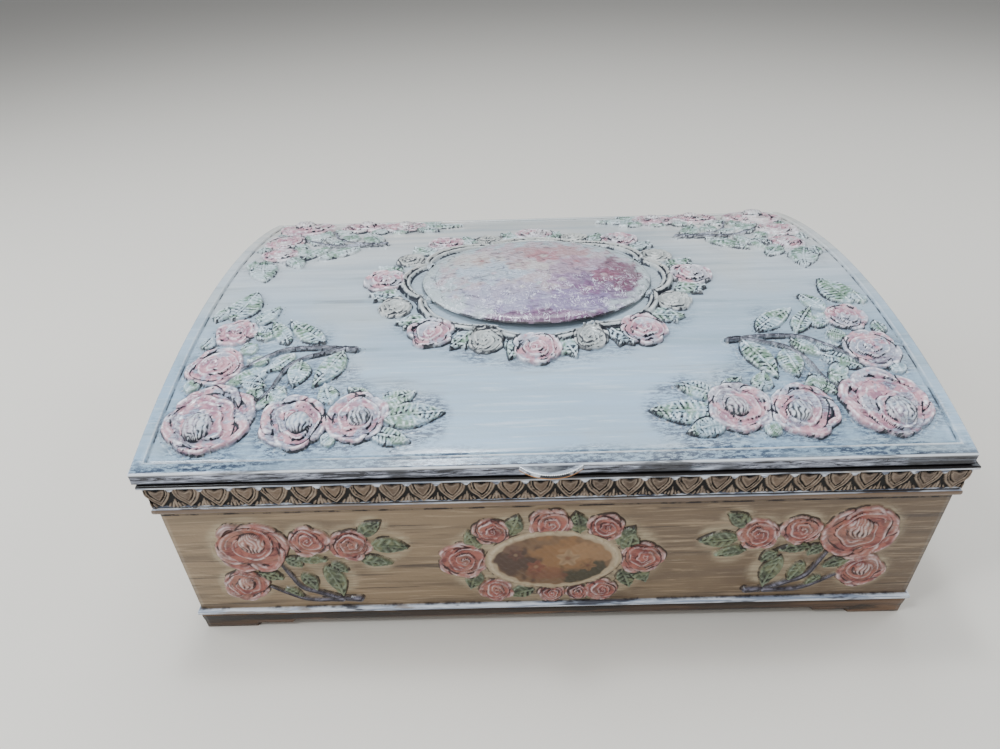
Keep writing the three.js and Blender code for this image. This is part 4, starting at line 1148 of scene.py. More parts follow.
def frieze_carving(length, count, step):
    """Shields, their double bands and the darts, on a strip as long as a side, with pale paint that hangs
    down between them and lies along the foot."""
    ground = Carving((-0.5 * length + 0.9, 0.5 * length - 0.9), FRIEZE_Z, step)
    pitch = length / count
    offset = 0.5 if count % 2 else 0.0
    turns = ground.x / pitch + offset
    a = (turns % 1 - 0.5) * pitch
    scale = pitch / USUAL_PITCH
    number = np.floor(turns)
    wobble = 0.13 * unevenness(ground.x, ground.y, 5, 41)
    away = shield_distance(a / scale, ground.y - SHIELD_Z + 0.2 * np.sin(7.3 * number)) + wobble
    near_edge = 0.5 * pitch - np.abs(a)
    whole = (slice(None), slice(None))
    for spread, lean, tall in ((2.75, -0.5, 1.9), (1.35, -0.3, 3.0), (0.0, 0.0, 4.2)):
        up = (ground.y - DART_Z) / tall
        lobe = np.abs(near_edge - spread - lean * (ground.y - DART_Z))
        inside = 0.56 * np.sqrt(np.clip(1 - up, 0, None)) * np.minimum(1, 0.8 + up) - lobe
        inside = np.where(up > 1, -0.5 * (up - 1) * tall - lobe, inside)
        height = 0.55 * np.sqrt(np.clip(inside + 0.2, 0, None))
        ground.lay(whole, inside, height, edge=0.35, line=0.4, cream=1.0, rim=0.9 * bump(lobe, 0.3))
    band = np.minimum(away - 0.3, 1.86 - away)
    ridge = 0.42 + 0.38 * np.maximum(bump(away - 0.58, 0.22), bump(away - 1.42, 0.38))
    dashes = 0.75 + 0.25 * np.sin(2.6 * ground.y + 3.1 * np.abs(a))
    light = np.maximum(bump(away - 0.55, 0.2), 0.85 * bump(away - 1.5, 0.25))
    ground.lay(whole, band, ridge, edge=0.35, line=0.35, cream=1.0, rim=light,
               crevice=dashes * bump(away - 0.96, 0.17))
    dome = 0.4 + 0.6 * np.sqrt(np.clip(1 - (1 + np.minimum(away, 0) / 2.4) ** 2, 0, None))
    hatch = 0.5 + 0.5 * np.sin(9.5 * ground.y + 1.2 * np.sin(1.1 * a + 2 * number) + 2.1 * number)
    scratch = hatch * ramp(-0.2, 0.5, unevenness(ground.x, ground.y, 3.1, 43))
    notch = 0.8 * bump(a, 1.0)
    inside = np.minimum(-away, SHIELD_TOP_Z - notch - ground.y)
    ground.lay(whole, inside, dome - 0.05 * scratch, edge=0.35, line=0.45, cream=1.0,
               rim=0.55 * bump(inside - 0.4, 0.22) + 0.25 * scratch, crevice=0.42 * (1 - hatch) * scratch)
    hang = np.minimum(ground.y - DRIP_Z - 1.1 * near_edge, 1.2)
    hang = hang + 0.15 * unevenness(ground.x, ground.y, 2.5, 44)
    ground.lay(whole, hang, 0.75 + 0 * hang, edge=0.4, line=0.3)
    ground.masks["bare"] = ramp(-0.2, 0.2, hang)
    foot = SILL_Z + 0.3 * unevenness(ground.x, ground.y, 4.5, 45) - ground.y
    ground.lay(whole, foot, 0.35 + 0 * foot, edge=0.4, line=0.3)
    ground.masks["bare"] = np.maximum(ground.masks["bare"], ramp(-0.2, 0.2, foot))
    ground.near[:] = 1
    return ground


def frieze_inset(z):
    """The frieze leans out: its inset runs from 1.85 at its foot to 0.95 at its top."""
    return np.interp(z, FRIEZE_Z, FRIEZE_INSET)


def no_halo(x, z):
    """No wash on the frieze."""
    return np.zeros_like(x)


friezes = []
for side, count in ((0, 28), (1, 21), (2, 28), (3, 21)):
    length = 2 * LID_HALF[side % 2]
    step = 0.32 if side == 0 else 0.55
    ground = frieze_carving(length, count, step)
    friezes.append(relief_piece(f"frieze_{('front', 'right', 'back', 'left')[side]}", ground,
                                wall_place(side, base_inset=frieze_inset), no_halo))

# %% [markdown]
# ## The thumb tab
# The lid is lifted by a small crescent at the front. Its top is flat and its thin edge is cut into fine
# beads.

# %% The thumb tab
TAB_STOPS, TAB_BEADS = 241, 32


def thumb_tab():
    """A crescent: the outline is an arc of a circle from end to end. Levels from its foot to its top go round
    the edge, where a cosine along the arc makes the beads."""
    low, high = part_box("thumb_tab")
    low, high = np.array(low) / MM, np.array(high) / MM
    half, reach = 0.5 * (high[0] - low[0]), high[1] - low[1]
    radius = (half**2 + reach**2) / (2 * reach)
    count = TAB_STOPS
    share = np.linspace(-1, 1, count)
    turn = share * np.arcsin(half / radius)
    beads = 0.07 * np.cos(2 * np.pi * TAB_BEADS * np.linspace(0, 1, count)) * ramp(1, 0.93, np.abs(share))
    middle_x = 0.5 * (low[0] + high[0])
    levels = [(0.55, 0.0, 0, "felt"), (0.12, 0.0, 0, "felt"), (0.04, 0.1, 0, "felt"), (0.08, 0.2, 0, "felt"),
              (0.14, 0.24, 0, "edge"), (0.2, 0.5, 0, "edge"), (0.2, 0.78, 0, "edge"),
              (0.14, 0.84, 0.6, "edge"), (0.1, 0.9, 1, "bead"), (0.2, 0.98, 1, "bead"),
              (0.38, 1.0, 0.6, "bead"), (0.55, 0.94, 0, "line"),
              (0.75, 0.9, 0, "top"), (1.8, 0.89, 0, "top")]
    rows = []
    for draw_in, z_share, bead, _ in levels:
        r = radius - draw_in + bead * beads
        x = np.clip(middle_x + r * np.sin(turn), low[0], high[0])
        y = np.minimum(low[1] + radius - r * np.cos(turn), high[1] + 0.15)
        rows.append(np.stack([x, y, np.full(count, low[2] + z_share * (high[2] - low[2]))], axis=-1))
    points = np.array(rows)
    index = np.arange(points.shape[0] * count).reshape(points.shape[0], count)
    faces = grid_faces(index)[:, ::-1]
    zone = np.repeat([[name] for *_, name in levels], count, axis=1)
    on_bead = zone == "bead"
    painted_shade_rows = (zone == "edge") | (zone == "line")
    # Painted highlights on the beads' bulges; painted shade in the hollows between beads, down the edge and
    # in the line under the top.
    masks = {
        "bare": 1.0, "stem": (zone == "felt").ravel().astype(float),
        "rim": np.where(on_bead, np.clip(0.7 + 5 * beads, 0, 1), 0).ravel(),
        "crevice": np.where(on_bead, np.clip(-0.1 - 7 * beads, 0, 0.8), 1.0 * painted_shade_rows).ravel(),
    }
    return points.reshape(-1, 3), faces, masks, [index[0], index[-1][::-1]]


tab_points, tab_faces, tab_masks, tab_ends = thumb_tab()
tab = make_piece("thumb_crescent", tab_points, tab_faces, tab_masks, tab_ends)
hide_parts("thumb_tab")

# %% [markdown]
# ## Paint
# All the finishes read the two layers of masks that the meshes carry. Effects that more than one material
# uses are node groups: brushed streaks, the darkness in the crevices, and the paint of the flowers.

# %% Helpers for node trees
def linear(colour):
    """A hex colour as linear red, green and blue with alpha."""
    value = np.array([int(colour[i:i + 2], 16) for i in (1, 3, 5)]) / 255
    value = np.where(value > 0.04045, ((value + 0.055) / 1.055) ** 2.4, value / 12.92)
    return (*value.tolist(), 1.0)


class Tree:
    """A short way to write a node tree: each call adds a node, and its inputs are values or sockets."""

    def __init__(self, tree):
        self.tree = tree

    def node(self, kind, inputs=None, **settings):
        """Add a node, set its properties and feed its inputs by name or number."""
        node = self.tree.nodes.new(kind)
        for key, value in settings.items():
            setattr(node, key, value)
        self.feed(node, inputs or {})
        return node

    def feed(self, node, inputs):
        """Connect sockets to a node's inputs and set the values of the others."""
        for key, value in inputs.items():
            if isinstance(value, bpy.types.NodeSocket):
                self.tree.links.new(value, node.inputs[key])
            else:
                node.inputs[key].default_value = value

    def maths(self, operation, a, b=0.0, clamp=False):
        """One sum on one or two values."""
        return self.node("ShaderNodeMath", {0: a, 1: b}, operation=operation, use_clamp=clamp).outputs[0]

    def mix(self, factor, a, b, blend="MIX"):
        """Mix two colours."""
        node = self.node("ShaderNodeMix", {0: factor, 6: a, 7: b}, data_type="RGBA", blend_type=blend)
        return node.outputs[2]

    def spread(self, value, low, high, to_low=0.0, to_high=1.0):
        """Map a range smoothly on to another, clamped."""
        return self.node("ShaderNodeMapRange", {0: value, 1: low, 2: high, 3: to_low, 4: to_high},
                         interpolation_type="SMOOTHSTEP").outputs[0]

    def noise(self, vector, scale, detail=3.0, roughness=0.55, distortion=0.0):
        """Noise between 0 and 1."""
        inputs = {"Vector": vector, "Scale": scale, "Detail": detail, "Roughness": roughness,
                  "Distortion": distortion}
        return self.node("ShaderNodeTexNoise", inputs).outputs["Fac"]

    def stretched(self, vector, scale):
        """Coordinates scaled on each axis."""
        return self.node("ShaderNodeMapping", {"Vector": vector, "Scale": scale}).outputs[0]

    def times(self, a, b, clamp=False):
        """The product of two values."""
        return self.maths("MULTIPLY", a, b, clamp)

    def layer(self, name):
        """A layer of masks on the vertices: red, green and blue as values, and the alpha."""
        source = self.node("ShaderNodeAttribute", attribute_name=name)
        split = self.node("ShaderNodeSeparateColor", {0: source.outputs["Color"]}).outputs
        return [*split, source.outputs["Alpha"]]

    def put_out(self, leave, **values):
        """Connect values to the outputs of a group by name."""
        for key, value in values.items():
            self.tree.links.new(value, leave.inputs[key])


def new_group(name, inputs, outputs):
    """A node group with named sockets. Returns its tree writer, its inputs and its output node."""
    group = bpy.data.node_groups.new(name, "ShaderNodeTree")
    kinds = {"v": "NodeSocketVector", "f": "NodeSocketFloat", "c": "NodeSocketColor"}
    for key, kind, *default in inputs:
        socket = group.interface.new_socket(key, in_out="INPUT", socket_type=kinds[kind])
        if default:
            socket.default_value = default[0]
    for key, kind in outputs:
        group.interface.new_socket(key, in_out="OUTPUT", socket_type=kinds[kind])
    entry = group.nodes.new("NodeGroupInput")
    leave = group.nodes.new("NodeGroupOutput")
    return Tree(group), entry.outputs, leave


print("colours are given as hex, for example", [round(value, 3) for value in linear("#92aec5")])

# %% [markdown]
# A brushed finish is noise that is stretched along the brush's way, in a coarse and a fine set of
# streaks, with two sizes of soft blots. The wax, with the painted shade that the crevice mask also carries,
# is a second paint that shows where the crevice mask is high, broken up by a fine grain, so that its edge
# isn't a drawn line.

# %% Streaks and crevices
write, entry, leave = new_group(
    "brushed_streaks", [("Vector", "v"), ("Stretch", "v", (8, 130, 130)), ("Seed", "f", 0.0)],
    [("Streak", "f"), ("Fine", "f"), ("Blot", "f"), ("Broad", "f")]
)
place = entry["Vector"]
offset = write.node("ShaderNodeCombineXYZ", {0: entry["Seed"], 1: entry["Seed"], 2: entry["Seed"]})
long_lines = write.node("ShaderNodeVectorMath", {0: place, 1: entry["Stretch"]}, operation="MULTIPLY")
lines = write.node("ShaderNodeVectorMath", {0: long_lines.outputs[0], 1: offset.outputs[0]}, operation="ADD")
lines = lines.outputs[0]
write.put_out(leave, Streak=write.noise(lines, 1.0, 4.0, 0.6, 0.35),
              Fine=write.noise(lines, 3.7, 5.0, 0.7, 0.5),
              Blot=write.noise(place, 26.0, 3.0, 0.5), Broad=write.noise(place, 9.0, 2.0, 0.5))

write, entry, leave = new_group(
    "crevice_wax_and_shade",
    [("Color", "c"), ("Wax and shade", "c", (0.02, 0.022, 0.035, 1)), ("Crevice", "f"), ("Amount", "f", 0.9),
     ("Vector", "v")],
    [("Color", "c"), ("Mask", "f")]
)
grain = write.noise(entry["Vector"], 620.0, 3.0, 0.6)
uneven = write.noise(entry["Vector"], 150.0, 3.0, 0.6)
level = write.times(entry["Crevice"], write.spread(uneven, 0.38, 0.58, 0.15, 1.35))
grained = write.maths("ADD", level, write.times(write.maths("SUBTRACT", grain, 0.5), 0.6))
mask = write.times(write.spread(grained, 0.28, 0.72), entry["Amount"], clamp=True)
write.put_out(leave, Color=write.mix(mask, entry["Color"], entry["Wax and shade"]), Mask=mask)
print("brushed streaks and crevice wax made")

# %% [markdown]
# The flowers are painted in two tones that change in soft patches, with a light colour dry-brushed over
# the raised rims and over the painted highlights that the rim mask also carries. In places the paint is
# thin, and the ground shows through the roses and the leaves.

# %% Flower paint
write, entry, leave = new_group(
    "flower_paint",
    [("Ground", "c"), ("Rose", "c"), ("Rose deep", "c"), ("Rose light", "c"), ("Leaf", "c"),
     ("Leaf deep", "c"), ("Leaf light", "c"),
     ("Stem", "c"), ("Stem light", "c"), ("Cream", "c"), ("Cream light", "c"), ("Dry brush", "f", 0.7),
     ("Wash", "f", 0.4), ("Vector", "v")],
    [("Color", "c"), ("Painted", "f"), ("Rim", "f")]
)
paints = write.layer("paint")
wears = write.layer("wear")
broad = write.noise(entry["Vector"], 130.0, 3.0, 0.6)
patches = write.noise(write.stretched(entry["Vector"], (1.0, 1.6, 1.6)), 210.0, 3.0, 0.6, 0.6)
dabs = write.noise(entry["Vector"], 380.0, 3.0, 0.65, 0.4)
# dry is the dry-brushed light on the rims, and it also paints the painted highlights that the rim mask
# carries.
dry = write.times(wears[0], write.spread(dabs, 0.36, 0.56, 0.2, 1.15))
dry = write.times(dry, entry["Dry brush"], clamp=True)
wash = write.times(write.spread(broad, 0.48, 0.56), entry["Wash"])
rose_base = write.mix(write.spread(patches, 0.42, 0.62), entry["Rose"], entry["Rose deep"])
leaf_base = write.mix(write.spread(broad, 0.56, 0.44), entry["Leaf"], entry["Leaf deep"])
rose_base = write.mix(wash, rose_base, entry["Ground"])
leaf_base = write.mix(wash, leaf_base, entry["Ground"])
colour = entry["Ground"]
for cover, base, light in zip(paints, (rose_base, leaf_base, entry["Stem"], entry["Cream"]),
                              ("Rose light", "Leaf light", "Stem light", "Cream light")):
    colour = write.mix(cover, colour, write.mix(dry, base, entry[light]))
painted = write.maths("ADD", write.maths("ADD", paints[0], paints[1]), paints[2])
write.put_out(leave, Color=colour, Painted=write.maths("ADD", painted, paints[3], clamp=True), Rim=dry)
print("node groups:", [group.name for group in bpy.data.node_groups])

# %% [markdown]
# Every finish reads the same masks, ends in the same Bump node and takes its wax and painted shade from the
# same group, so those steps are functions. The clear varnish of the old finish is a coat that is missing
# where the wax and painted shade lie.

# %% The materials' common parts
FLOWER_COLOURS = ("Rose", "Rose deep", "Rose light", "Leaf", "Leaf deep", "Leaf light", "Stem", "Stem light",
                  "Cream", "Cream light")


def new_material(name):
    """An empty material: itself, its tree writer, its Principled BSDF, its Object coordinates and the masks
    of wear."""
    material = bpy.data.materials.new(name)
    material.use_nodes = True
    material.node_tree.nodes.clear()
    tree = Tree(material.node_tree)
    output = tree.node("ShaderNodeOutputMaterial")
    shader = tree.node("ShaderNodeBsdfPrincipled")
    tree.tree.links.new(shader.outputs[0], output.inputs[0])
    place = tree.node("ShaderNodeTexCoord").outputs["Object"]
    return material, tree, shader, place, dict(zip(WEARS, tree.layer("wear")))


def use_group(tree, name, inputs):
    """Place a node group and feed it."""
    node = tree.node("ShaderNodeGroup", node_tree=bpy.data.node_groups[name])
    tree.feed(node, inputs)
    return node.outputs


def brushed(tree, place, stretch, seed):
    """Brushed streaks, stretched by this much on each axis."""
    return use_group(tree, "brushed_streaks", {"Vector": place, "Stretch": stretch, "Seed": seed})


def wax_and_shade_over(tree, colour, dark_wax_and_shade, amount, place, masks):
    """Wax and painted shade of a hex colour in the crevices of a finish: the outputs are the colour and their
    mask.
    """
    return use_group(tree, "crevice_wax_and_shade", {"Color": colour, "Wax and shade": linear(dark_wax_and_shade), "Amount": amount,
                                           "Crevice": masks["crevice"], "Vector": place})


def flowered(tree, ground, colours, dry_brush, wash, place):
    """Flower paint over a ground. The ten colours are hex, in the order of FLOWER_COLOURS."""
    inputs = {key: linear(colour) for key, colour in zip(FLOWER_COLOURS, colours)}
    inputs.update({"Ground": ground, "Dry brush": dry_brush, "Wash": wash, "Vector": place})
    return use_group(tree, "flower_paint", inputs)


def stained(tree, colour, values, layers):
    """Lay paints over a colour one after another. A layer is (key, low, high, amount, hex): its paint shows
    where the value under that key goes from low to high, up to the amount."""
    for key, low, high, amount, paint in layers:
        colour = tree.mix(tree.spread(values[key], low, high, 0.0, amount), colour, linear(paint))
    return colour


def finish_shader(tree, shader, colour, roughness, height, strength, distance=0.0004):
    """Feed the shader's colour and roughness, and a Bump node from a height."""
    tree.tree.links.new(colour, shader.inputs["Base Color"])
    tree.tree.links.new(roughness, shader.inputs["Roughness"])
    bumped = tree.node("ShaderNodeBump", {"Height": height, "Strength": strength, "Distance": distance})
    tree.tree.links.new(bumped.outputs[0], shader.inputs["Normal"])


def varnish(tree, shader, dark_wax_and_shade, weight, roughness):
    """A clear coat that is absent where the wax and painted shade are thick."""
    shader.inputs["Specular IOR Level"].default_value = 0.24
    shader.inputs["Coat Roughness"].default_value = roughness
    tree.tree.links.new(tree.spread(dark_wax_and_shade, 0.1, 0.7, weight, 0.0), shader.inputs["Coat Weight"])


# %% [markdown]
# The lid is a pale celadon, brushed from end to end, with a painted sheen that makes it lighter and
# warmer towards the back. Dark blue-black wax lies in the grooves and round the flowers, and painted shade
# darkens the border's groove. The edge is worn to the metal, with black painted shade along its foot and
# painted highlights along its top and the border's step.

# %% The lid's paint
FRONT_BORDER = (-0.0885, -0.092)
material, tree, shader, place, masks = new_material("celadon_paint")
streaks = brushed(tree, place, (9, 150, 150), 3.0)
axis = tree.node("ShaderNodeSeparateXYZ", {0: place}).outputs
# Painted sheen: the field runs from blue-grey at the front to a lighter, warmer tone at the back.
back_sheen = tree.spread(axis[1], -0.09, 0.1)
field = tree.mix(back_sheen, linear("#92aec5"), linear("#d5cfc5"))
field = stained(tree, field, streaks, [
    ("Broad", 0.42, 0.62, 0.35, "#8fa3ad"), ("Streak", 0.4, 0.7, 0.5, "#8b9ca6"),
    ("Fine", 0.5, 0.72, 0.45, "#cfd8dc"), ("Blot", 0.5, 0.72, 0.3, "#b9b5a4"),
])
speckle = tree.noise(tree.stretched(place, (330, 1050, 1050)), 1.0, 5.0, 0.8)
hatch = tree.times(tree.spread(masks["halo"], 0.1, 0.9), tree.spread(speckle, 0.45, 0.55))
field = tree.mix(tree.times(hatch, 0.85), field, linear("#2a3850"))
at_front = tree.spread(axis[1], *FRONT_BORDER)
at_front = tree.times(at_front, tree.spread(streaks["Streak"], 0.58, 0.44, 0.3, 1.0))
at_front = tree.times(at_front, tree.spread(speckle, 0.43, 0.53, 0.3, 1.0))
field = tree.mix(at_front, field, linear("#131c33"))
scratch = tree.times(tree.spread(streaks["Streak"], 0.6, 0.68), tree.spread(streaks["Blot"], 0.5, 0.6))
field = tree.mix(tree.times(scratch, 0.35), field, linear("#4c5560"))
flowers = flowered(tree, field, ("#c6929a", "#9a6e7e", "#f6f0f4", "#8aa9a6", "#5f7d62", "#e0eaee", "#2b2830",
                                 "#b3b6c4", "#a6a59c", "#ebe4d8"), 1.0, 0.75, place)
wax_and_shade = wax_and_shade_over(tree, flowers["Color"], "#141722", 1.0, place, masks)
edge_noise = tree.noise(tree.stretched(place, (40, 220, 500)), 1.0, 5.0, 0.65)
bare = tree.times(masks["bare"], tree.spread(edge_noise, 0.26, 0.36))
scraped = tree.noise(tree.stretched(place, (75, 700, 900)), 1.0, 5.0, 0.75, 0.8)
metal = stained(tree, linear("#101524"), {"scraped": scraped, "Blot": streaks["Blot"]}, [
    ("scraped", 0.43, 0.53, 1.0, "#8b90a0"), ("scraped", 0.55, 0.61, 0.95, "#d2dcf0"),
    ("Blot", 0.55, 0.6, 0.8, "#0b0f1b"),
])
plain = tree.maths("SUBTRACT", 1.0, flowers["Painted"])
# Painted highlight: a pale line along the top of the edge and the border's step.
line = tree.times(tree.times(masks["rim"], plain), tree.spread(edge_noise, 0.4, 0.55, 0.2, 0.9))
# Painted shade: grey in the border's groove and at the foot of the edge.
painted_shade_grey = tree.times(tree.times(masks["crevice"], plain), 0.5)
colour = tree.mix(painted_shade_grey, wax_and_shade["Color"], linear("#4a5058"))
colour = tree.mix(line, colour, linear("#e4e4e0"))
colour = tree.mix(bare, colour, metal)
# Black painted shade along the foot of the edge, over the gap to the body.
colour = tree.mix(tree.times(masks["crevice"], masks["bare"]), colour, linear("#0c0d14"))
# A brighter painted highlight on the bare corner of the edge.
painted_corner_highlight = tree.times(tree.times(masks["rim"], masks["bare"]), tree.spread(edge_noise, 0.36, 0.46, 0.2, 1.0))
colour = tree.mix(painted_corner_highlight, colour, linear("#f2f7fd"))
rough = tree.spread(streaks["Blot"], 0.3, 0.7, 0.3, 0.44)
height = tree.maths("ADD", tree.times(streaks["Fine"], 0.6), tree.noise(place, 900.0, 2.0))
finish_shader(tree, shader, colour, rough, height, 0.45, 0.00025)
varnish(tree, shader, wax_and_shade["Mask"], 0.6, 0.13)
lid_paint = material

# %% [markdown]
# The body is a tan wash brushed along the wall like wood grain, with painted shade that darkens it towards
# the right and a cream halo round the flowers. The frieze, the beads, the base and the inside have finishes
# of their own, which the same masks pick out on the shell.

# %% The body's paint
material, tree, shader, place, masks = new_material("tan_paint")


def grained_wall(tree, place, masks):
    """The tan wash: brushed grain, thin dark and cream lines, and painted shade that darkens it towards the
    right-hand end.
    """
    streaks = brushed(tree, place, (10, 10, 210), 8.0)
    lines = brushed(tree, place, (16, 16, 520), 4.0)
    along = tree.node("ShaderNodeSeparateXYZ", {0: place}).outputs[0]
    # Painted shade: the wall darkens from left to right, away from the stronger light on the left.
    wall = tree.mix(tree.spread(along, -0.1, 0.13), linear("#8b765c"), linear("#64513e"))
    wall = stained(tree, wall, streaks, [
        ("Streak", 0.42, 0.6, 0.7, "#5f4f3f"), ("Fine", 0.5, 0.66, 0.55, "#ad977a"),
        ("Blot", 0.5, 0.7, 0.35, "#9c876b"),
    ])
    wall = stained(tree, wall, lines, [
        ("Streak", 0.6, 0.66, 0.7, "#3d3029"), ("Fine", 0.66, 0.72, 0.6, "#c8b89c"),
    ])
    washed = tree.times(masks["halo"], tree.spread(streaks["Fine"], 0.6, 0.42, 0.15, 0.75))
    return tree.mix(washed, wall, linear("#b5a68a")), streaks


def satin(tree, shader, wax_and_shade, streaks, place):
    """The body's satin: a thin varnish over fine brush marks and a small grain."""
    rough = tree.spread(streaks["Blot"], 0.3, 0.7, 0.32, 0.46)
    height = tree.maths("ADD", tree.times(streaks["Fine"], 0.7), tree.noise(place, 800.0, 2.0))
    finish_shader(tree, shader, wax_and_shade["Color"], rough, height, 0.4, 0.00025)
    varnish(tree, shader, wax_and_shade["Mask"], 0.4, 0.18)


wall, streaks = grained_wall(tree, place, masks)
flowers = flowered(tree, wall, ("#9c5b50", "#6f3735", "#dccac8", "#525e3c", "#3c4230", "#8e9a82", "#231c22",
                                "#8c8896", "#a39075", "#d2c4a8"), 0.7, 0.18, place)
picture = tree.node("ShaderNodeAttribute", attribute_name="picture").outputs["Color"]
pictured = tree.mix(masks["bare"], flowers["Color"], picture)
satin(tree, shader, wax_and_shade_over(tree, pictured, "#1d161b", 0.8, place, masks), streaks, place)
body_paint = material
print("made", lid_paint.name, "and", body_paint.name)

# %% [markdown]
# The shell's own finish picks a paint for each zone. The beads have pale silver paint with gaps, the base
# is dark brown with black patches, and the ledge under the frieze is a tan a little darker than the wall.
# The frieze itself is black in its depths, with tan dragged over the hearts and pale paint between them.
# The flange under the lid's edge is black painted shade, and dark lines of painted shade lie under the
# ledge and round the bottom bead.

# %% The shell's mouldings and the inside
material, tree, shader, place, masks = new_material("moulding_paint")
zone = dict(zip(PAINTS, tree.layer("paint")))
wall, streaks = grained_wall(tree, place, masks)
patch_noise = tree.noise(tree.stretched(place, (34, 34, 260)), 1.0, 4.0, 0.6)
brushes = {"Streak": streaks["Streak"], "Fine": streaks["Fine"], "patch": patch_noise}
base = stained(tree, linear("#2c1e15"), brushes, [
    ("Streak", 0.4, 0.6, 1.0, "#6f5138"), ("patch", 0.48, 0.58, 0.85, "#15100f"),
])
bead = stained(tree, linear("#8f9aae"), brushes, [
    ("Fine", 0.42, 0.6, 1.0, "#e3e8f0"), ("patch", 0.57, 0.63, 0.9, "#2a2c38"),
    ("patch", 0.44, 0.38, 0.7, "#8a7a68"),
])
ledge = stained(tree, linear("#7c6550"), brushes, [
    ("Streak", 0.42, 0.58, 1.0, "#6c5a4c"), ("Fine", 0.55, 0.68, 0.6, "#ab9678"),
])
inside = tree.mix(tree.noise(place, 60.0), linear("#35302e"), linear("#565049"))
colour = wall
# zone cream is the black ground behind the frieze, which shows on the flange as black painted shade under the
# lid's edge; the last cover is painted shade along the crevice mask's lines.
for cover, paint in ((zone["stem"], base), (zone["rose"], ledge), (masks["bare"], bead),
                     (zone["cream"], linear("#14100f")), (zone["leaf"], inside),
                     (tree.times(masks["crevice"], 0.7), linear("#33271f"))):
    colour = tree.mix(cover, colour, paint)
satin(tree, shader, wax_and_shade_over(tree, colour, "#171218", 0.9, place, masks), streaks, place)
moulding_paint = material

material, tree, shader, place, masks = new_material("frieze_paint")
streaks = brushed(tree, place, (160, 160, 420), 2.0)
raised = stained(tree, linear("#6f5c4b"), streaks, [
    ("Blot", 0.35, 0.65, 1.0, "#57493f"), ("Fine", 0.5, 0.66, 0.5, "#8d7c72"),
])
dry = tree.times(masks["rim"], tree.spread(streaks["Streak"], 0.36, 0.56, 0.45, 1.1), clamp=True)
pale = stained(tree, linear("#6f7688"), streaks, [("Streak", 0.42, 0.58, 1.0, "#dfe5f0")])
deep = tree.mix(tree.layer("paint")[3], linear("#060507"), raised)
deep = tree.mix(dry, deep, linear("#ab9a88"))
deep = tree.mix(masks["bare"], deep, pale)
wax_and_shade = wax_and_shade_over(tree, deep, "#0c0a0d", 0.95, place, masks)
rough = tree.spread(streaks["Blot"], 0.3, 0.7, 0.4, 0.55)
finish_shader(tree, shader, wax_and_shade["Color"], rough, streaks["Fine"], 0.4, 0.0002)
shader.inputs["Specular IOR Level"].default_value = 0.22
frieze_paint = material
print("made", moulding_paint.name, "and", frieze_paint.name)

# %% [markdown]
# The plaque lies under a thick clear varnish over a wrinkled paint, with embossed strokes towards its
# front that carry painted highlights, and wrinkles painted lighter on their highs and darker in their lows.
# The thumb tab is bare tin with painted highlights on its beads, painted shade in the hollows between them
# and down its edge, and a pad of felt underneath.

# %% The picture and the bare tin
material, tree, shader, place, masks = new_material("plaque_picture")
picture = tree.node("ShaderNodeAttribute", attribute_name="picture").outputs["Color"]
wrinkle = tree.noise(tree.stretched(place, (190, 330, 330)), 1.0, 4.0, 0.6, 1.4)
ripple = tree.noise(tree.stretched(place, (420, 230, 260)), 1.0, 1.5, 0.5, 1.6)
# Painted light and shade of the wrinkles: light where the noise that also bumps them is high, dark where it
# is low.
wrinkle_light_and_shade = stained(tree, picture, {"wrinkle": wrinkle}, [
    ("wrinkle", 0.5, 0.72, 0.3, "#cfcfe0"), ("wrinkle", 0.46, 0.32, 0.6, "#33283c"),
])
# Painted highlights: white on the crests of the ripples, towards the front.
crest_highlight = tree.maths("ABSOLUTE", tree.maths("SUBTRACT", ripple, 0.5))
towards_front = tree.spread(tree.node("ShaderNodeSeparateXYZ", {0: place}).outputs[1], 0.016, -0.012)
broken = tree.spread(tree.noise(place, 210.0, 2.0), 0.42, 0.58)
crest_highlight = tree.times(tree.times(tree.spread(crest_highlight, 0.035, 0.006), broken), towards_front)
wrinkle_light_and_shade = tree.mix(tree.times(crest_highlight, 0.9), wrinkle_light_and_shade, linear("#f2f0fa"))
wax_and_shade = wax_and_shade_over(tree, wrinkle_light_and_shade, "#15121a", 0.9, place, masks)
height = tree.maths("ADD", tree.times(wrinkle, 0.6), ripple)
rough = tree.spread(wrinkle, 0.3, 0.7, 0.14, 0.28)
finish_shader(tree, shader, wax_and_shade["Color"], rough, height, 0.8, 0.0007)
shader.inputs["Coat Weight"].default_value = 0.9
shader.inputs["Coat Roughness"].default_value = 0.07
plaque_varnish = material

material, tree, shader, place, masks = new_material("worn_tin")
streaks = brushed(tree, place, (60, 200, 200), 1.0)
colour = stained(tree, linear("#d6dbe2"), streaks, [("Fine", 0.4, 0.66, 1.0, "#8f929c")])
# Painted highlights on the beads.
colour = tree.mix(masks["rim"], colour, linear("#f8fafc"))
wax_and_shade = wax_and_shade_over(tree, colour, "#10131f", 0.95, place, masks)
colour = tree.mix(tree.layer("paint")[2], wax_and_shade["Color"], linear("#bb8149"))
rough = tree.spread(streaks["Blot"], 0.3, 0.7, 0.24, 0.36)
finish_shader(tree, shader, colour, rough, streaks["Fine"], 0.2, 0.0001)
shader.inputs["Metallic"].default_value = 0.3
tin = material
print("made", plaque_varnish.name, "and", tin.name)

# %% [markdown]
# Each piece gets one finish.

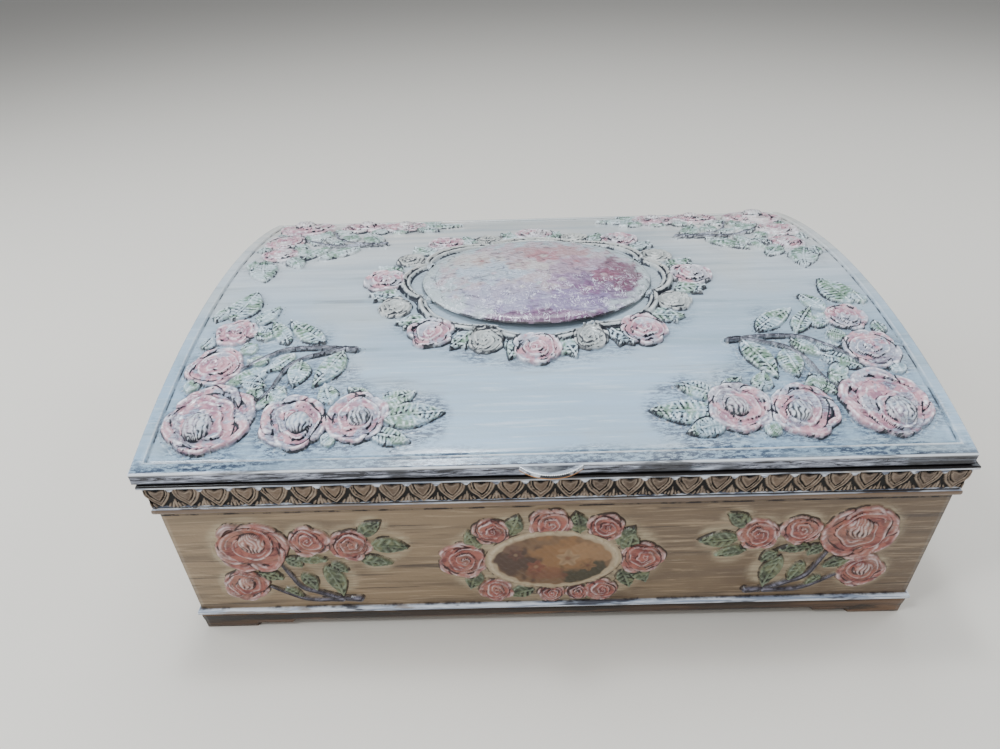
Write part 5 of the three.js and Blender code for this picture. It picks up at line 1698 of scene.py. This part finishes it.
# %% Hand the finishes out
for piece in painted_lid:
    piece.data.materials.append(lid_paint)
body_piece.data.materials.append(moulding_paint)
for piece in painted_body[1:]:
    piece.data.materials.append(body_paint)
for piece in friezes:
    piece.data.materials.append(frieze_paint)
plaque.data.materials.append(plaque_varnish)
tab.data.materials.append(tin)
print("pieces", len(painted_lid) + len(painted_body) + len(friezes) + 2)

# %% [markdown]
# ## Floor and light
# A plain pale floor, a large soft light on each side as in a small studio, and a weak even sky.

# %% Floor, lights and sky
floor_mesh = bpy.data.meshes.new("floor")
floor_mesh.from_pydata([(-6, -6, 0), (6, -6, 0), (6, 6, 0), (-6, 6, 0)], [], [(0, 1, 2, 3)])
floor = bpy.data.objects.new("floor", floor_mesh)
bpy.context.scene.collection.objects.link(floor)
material, tree, shader, place, masks = new_material("pale_floor")
shader.inputs["Base Color"].default_value = linear("#ded6ca")
shader.inputs["Roughness"].default_value = 0.7
floor.data.materials.append(material)


def soft_light(name, at, aim, size, power, colour=(1, 1, 1)):
    """A square area light that faces a point."""
    data = bpy.data.lights.new(name, "AREA")
    data.size, data.energy, data.color = size, power, colour
    light = bpy.data.objects.new(name, data)
    bpy.context.scene.collection.objects.link(light)
    light.location = at
    light.rotation_euler = (Vector(aim) - Vector(at)).to_track_quat("-Z", "Y").to_euler()
    return light


COOL = (0.86, 0.93, 1.0)
soft_light("left_tent", (-0.75, -0.1, 0.55), (0, 0, 0.05), 0.6, 6.5, COOL)
soft_light("right_tent", (0.8, 0.1, 0.6), (0, 0, 0.05), 0.6, 4.5, COOL)
soft_light("top", (0.0, 0.3, 1.0), (0, 0, 0.05), 0.7, 6.0, COOL)
soft_light("top_lamp", (-0.12, 0.12, 1.0), (0, 0, 0.05), 0.14, 3.0, COOL)
soft_light("side_lamp", (-0.45, -0.35, 0.8), (0, 0, 0.05), 0.12, 2.3, COOL)
soft_light("front", (-0.1, -0.9, 0.5), (0, -0.05, 0.04), 0.7, 2.4)
world = bpy.data.worlds.new("sky")
world.use_nodes = True
background = world.node_tree.nodes["Background"].inputs
background["Color"].default_value = (0.86, 0.92, 1.0, 1)
background["Strength"].default_value = 0.3
bpy.context.scene.world = world
print("lights", len(bpy.data.lights))
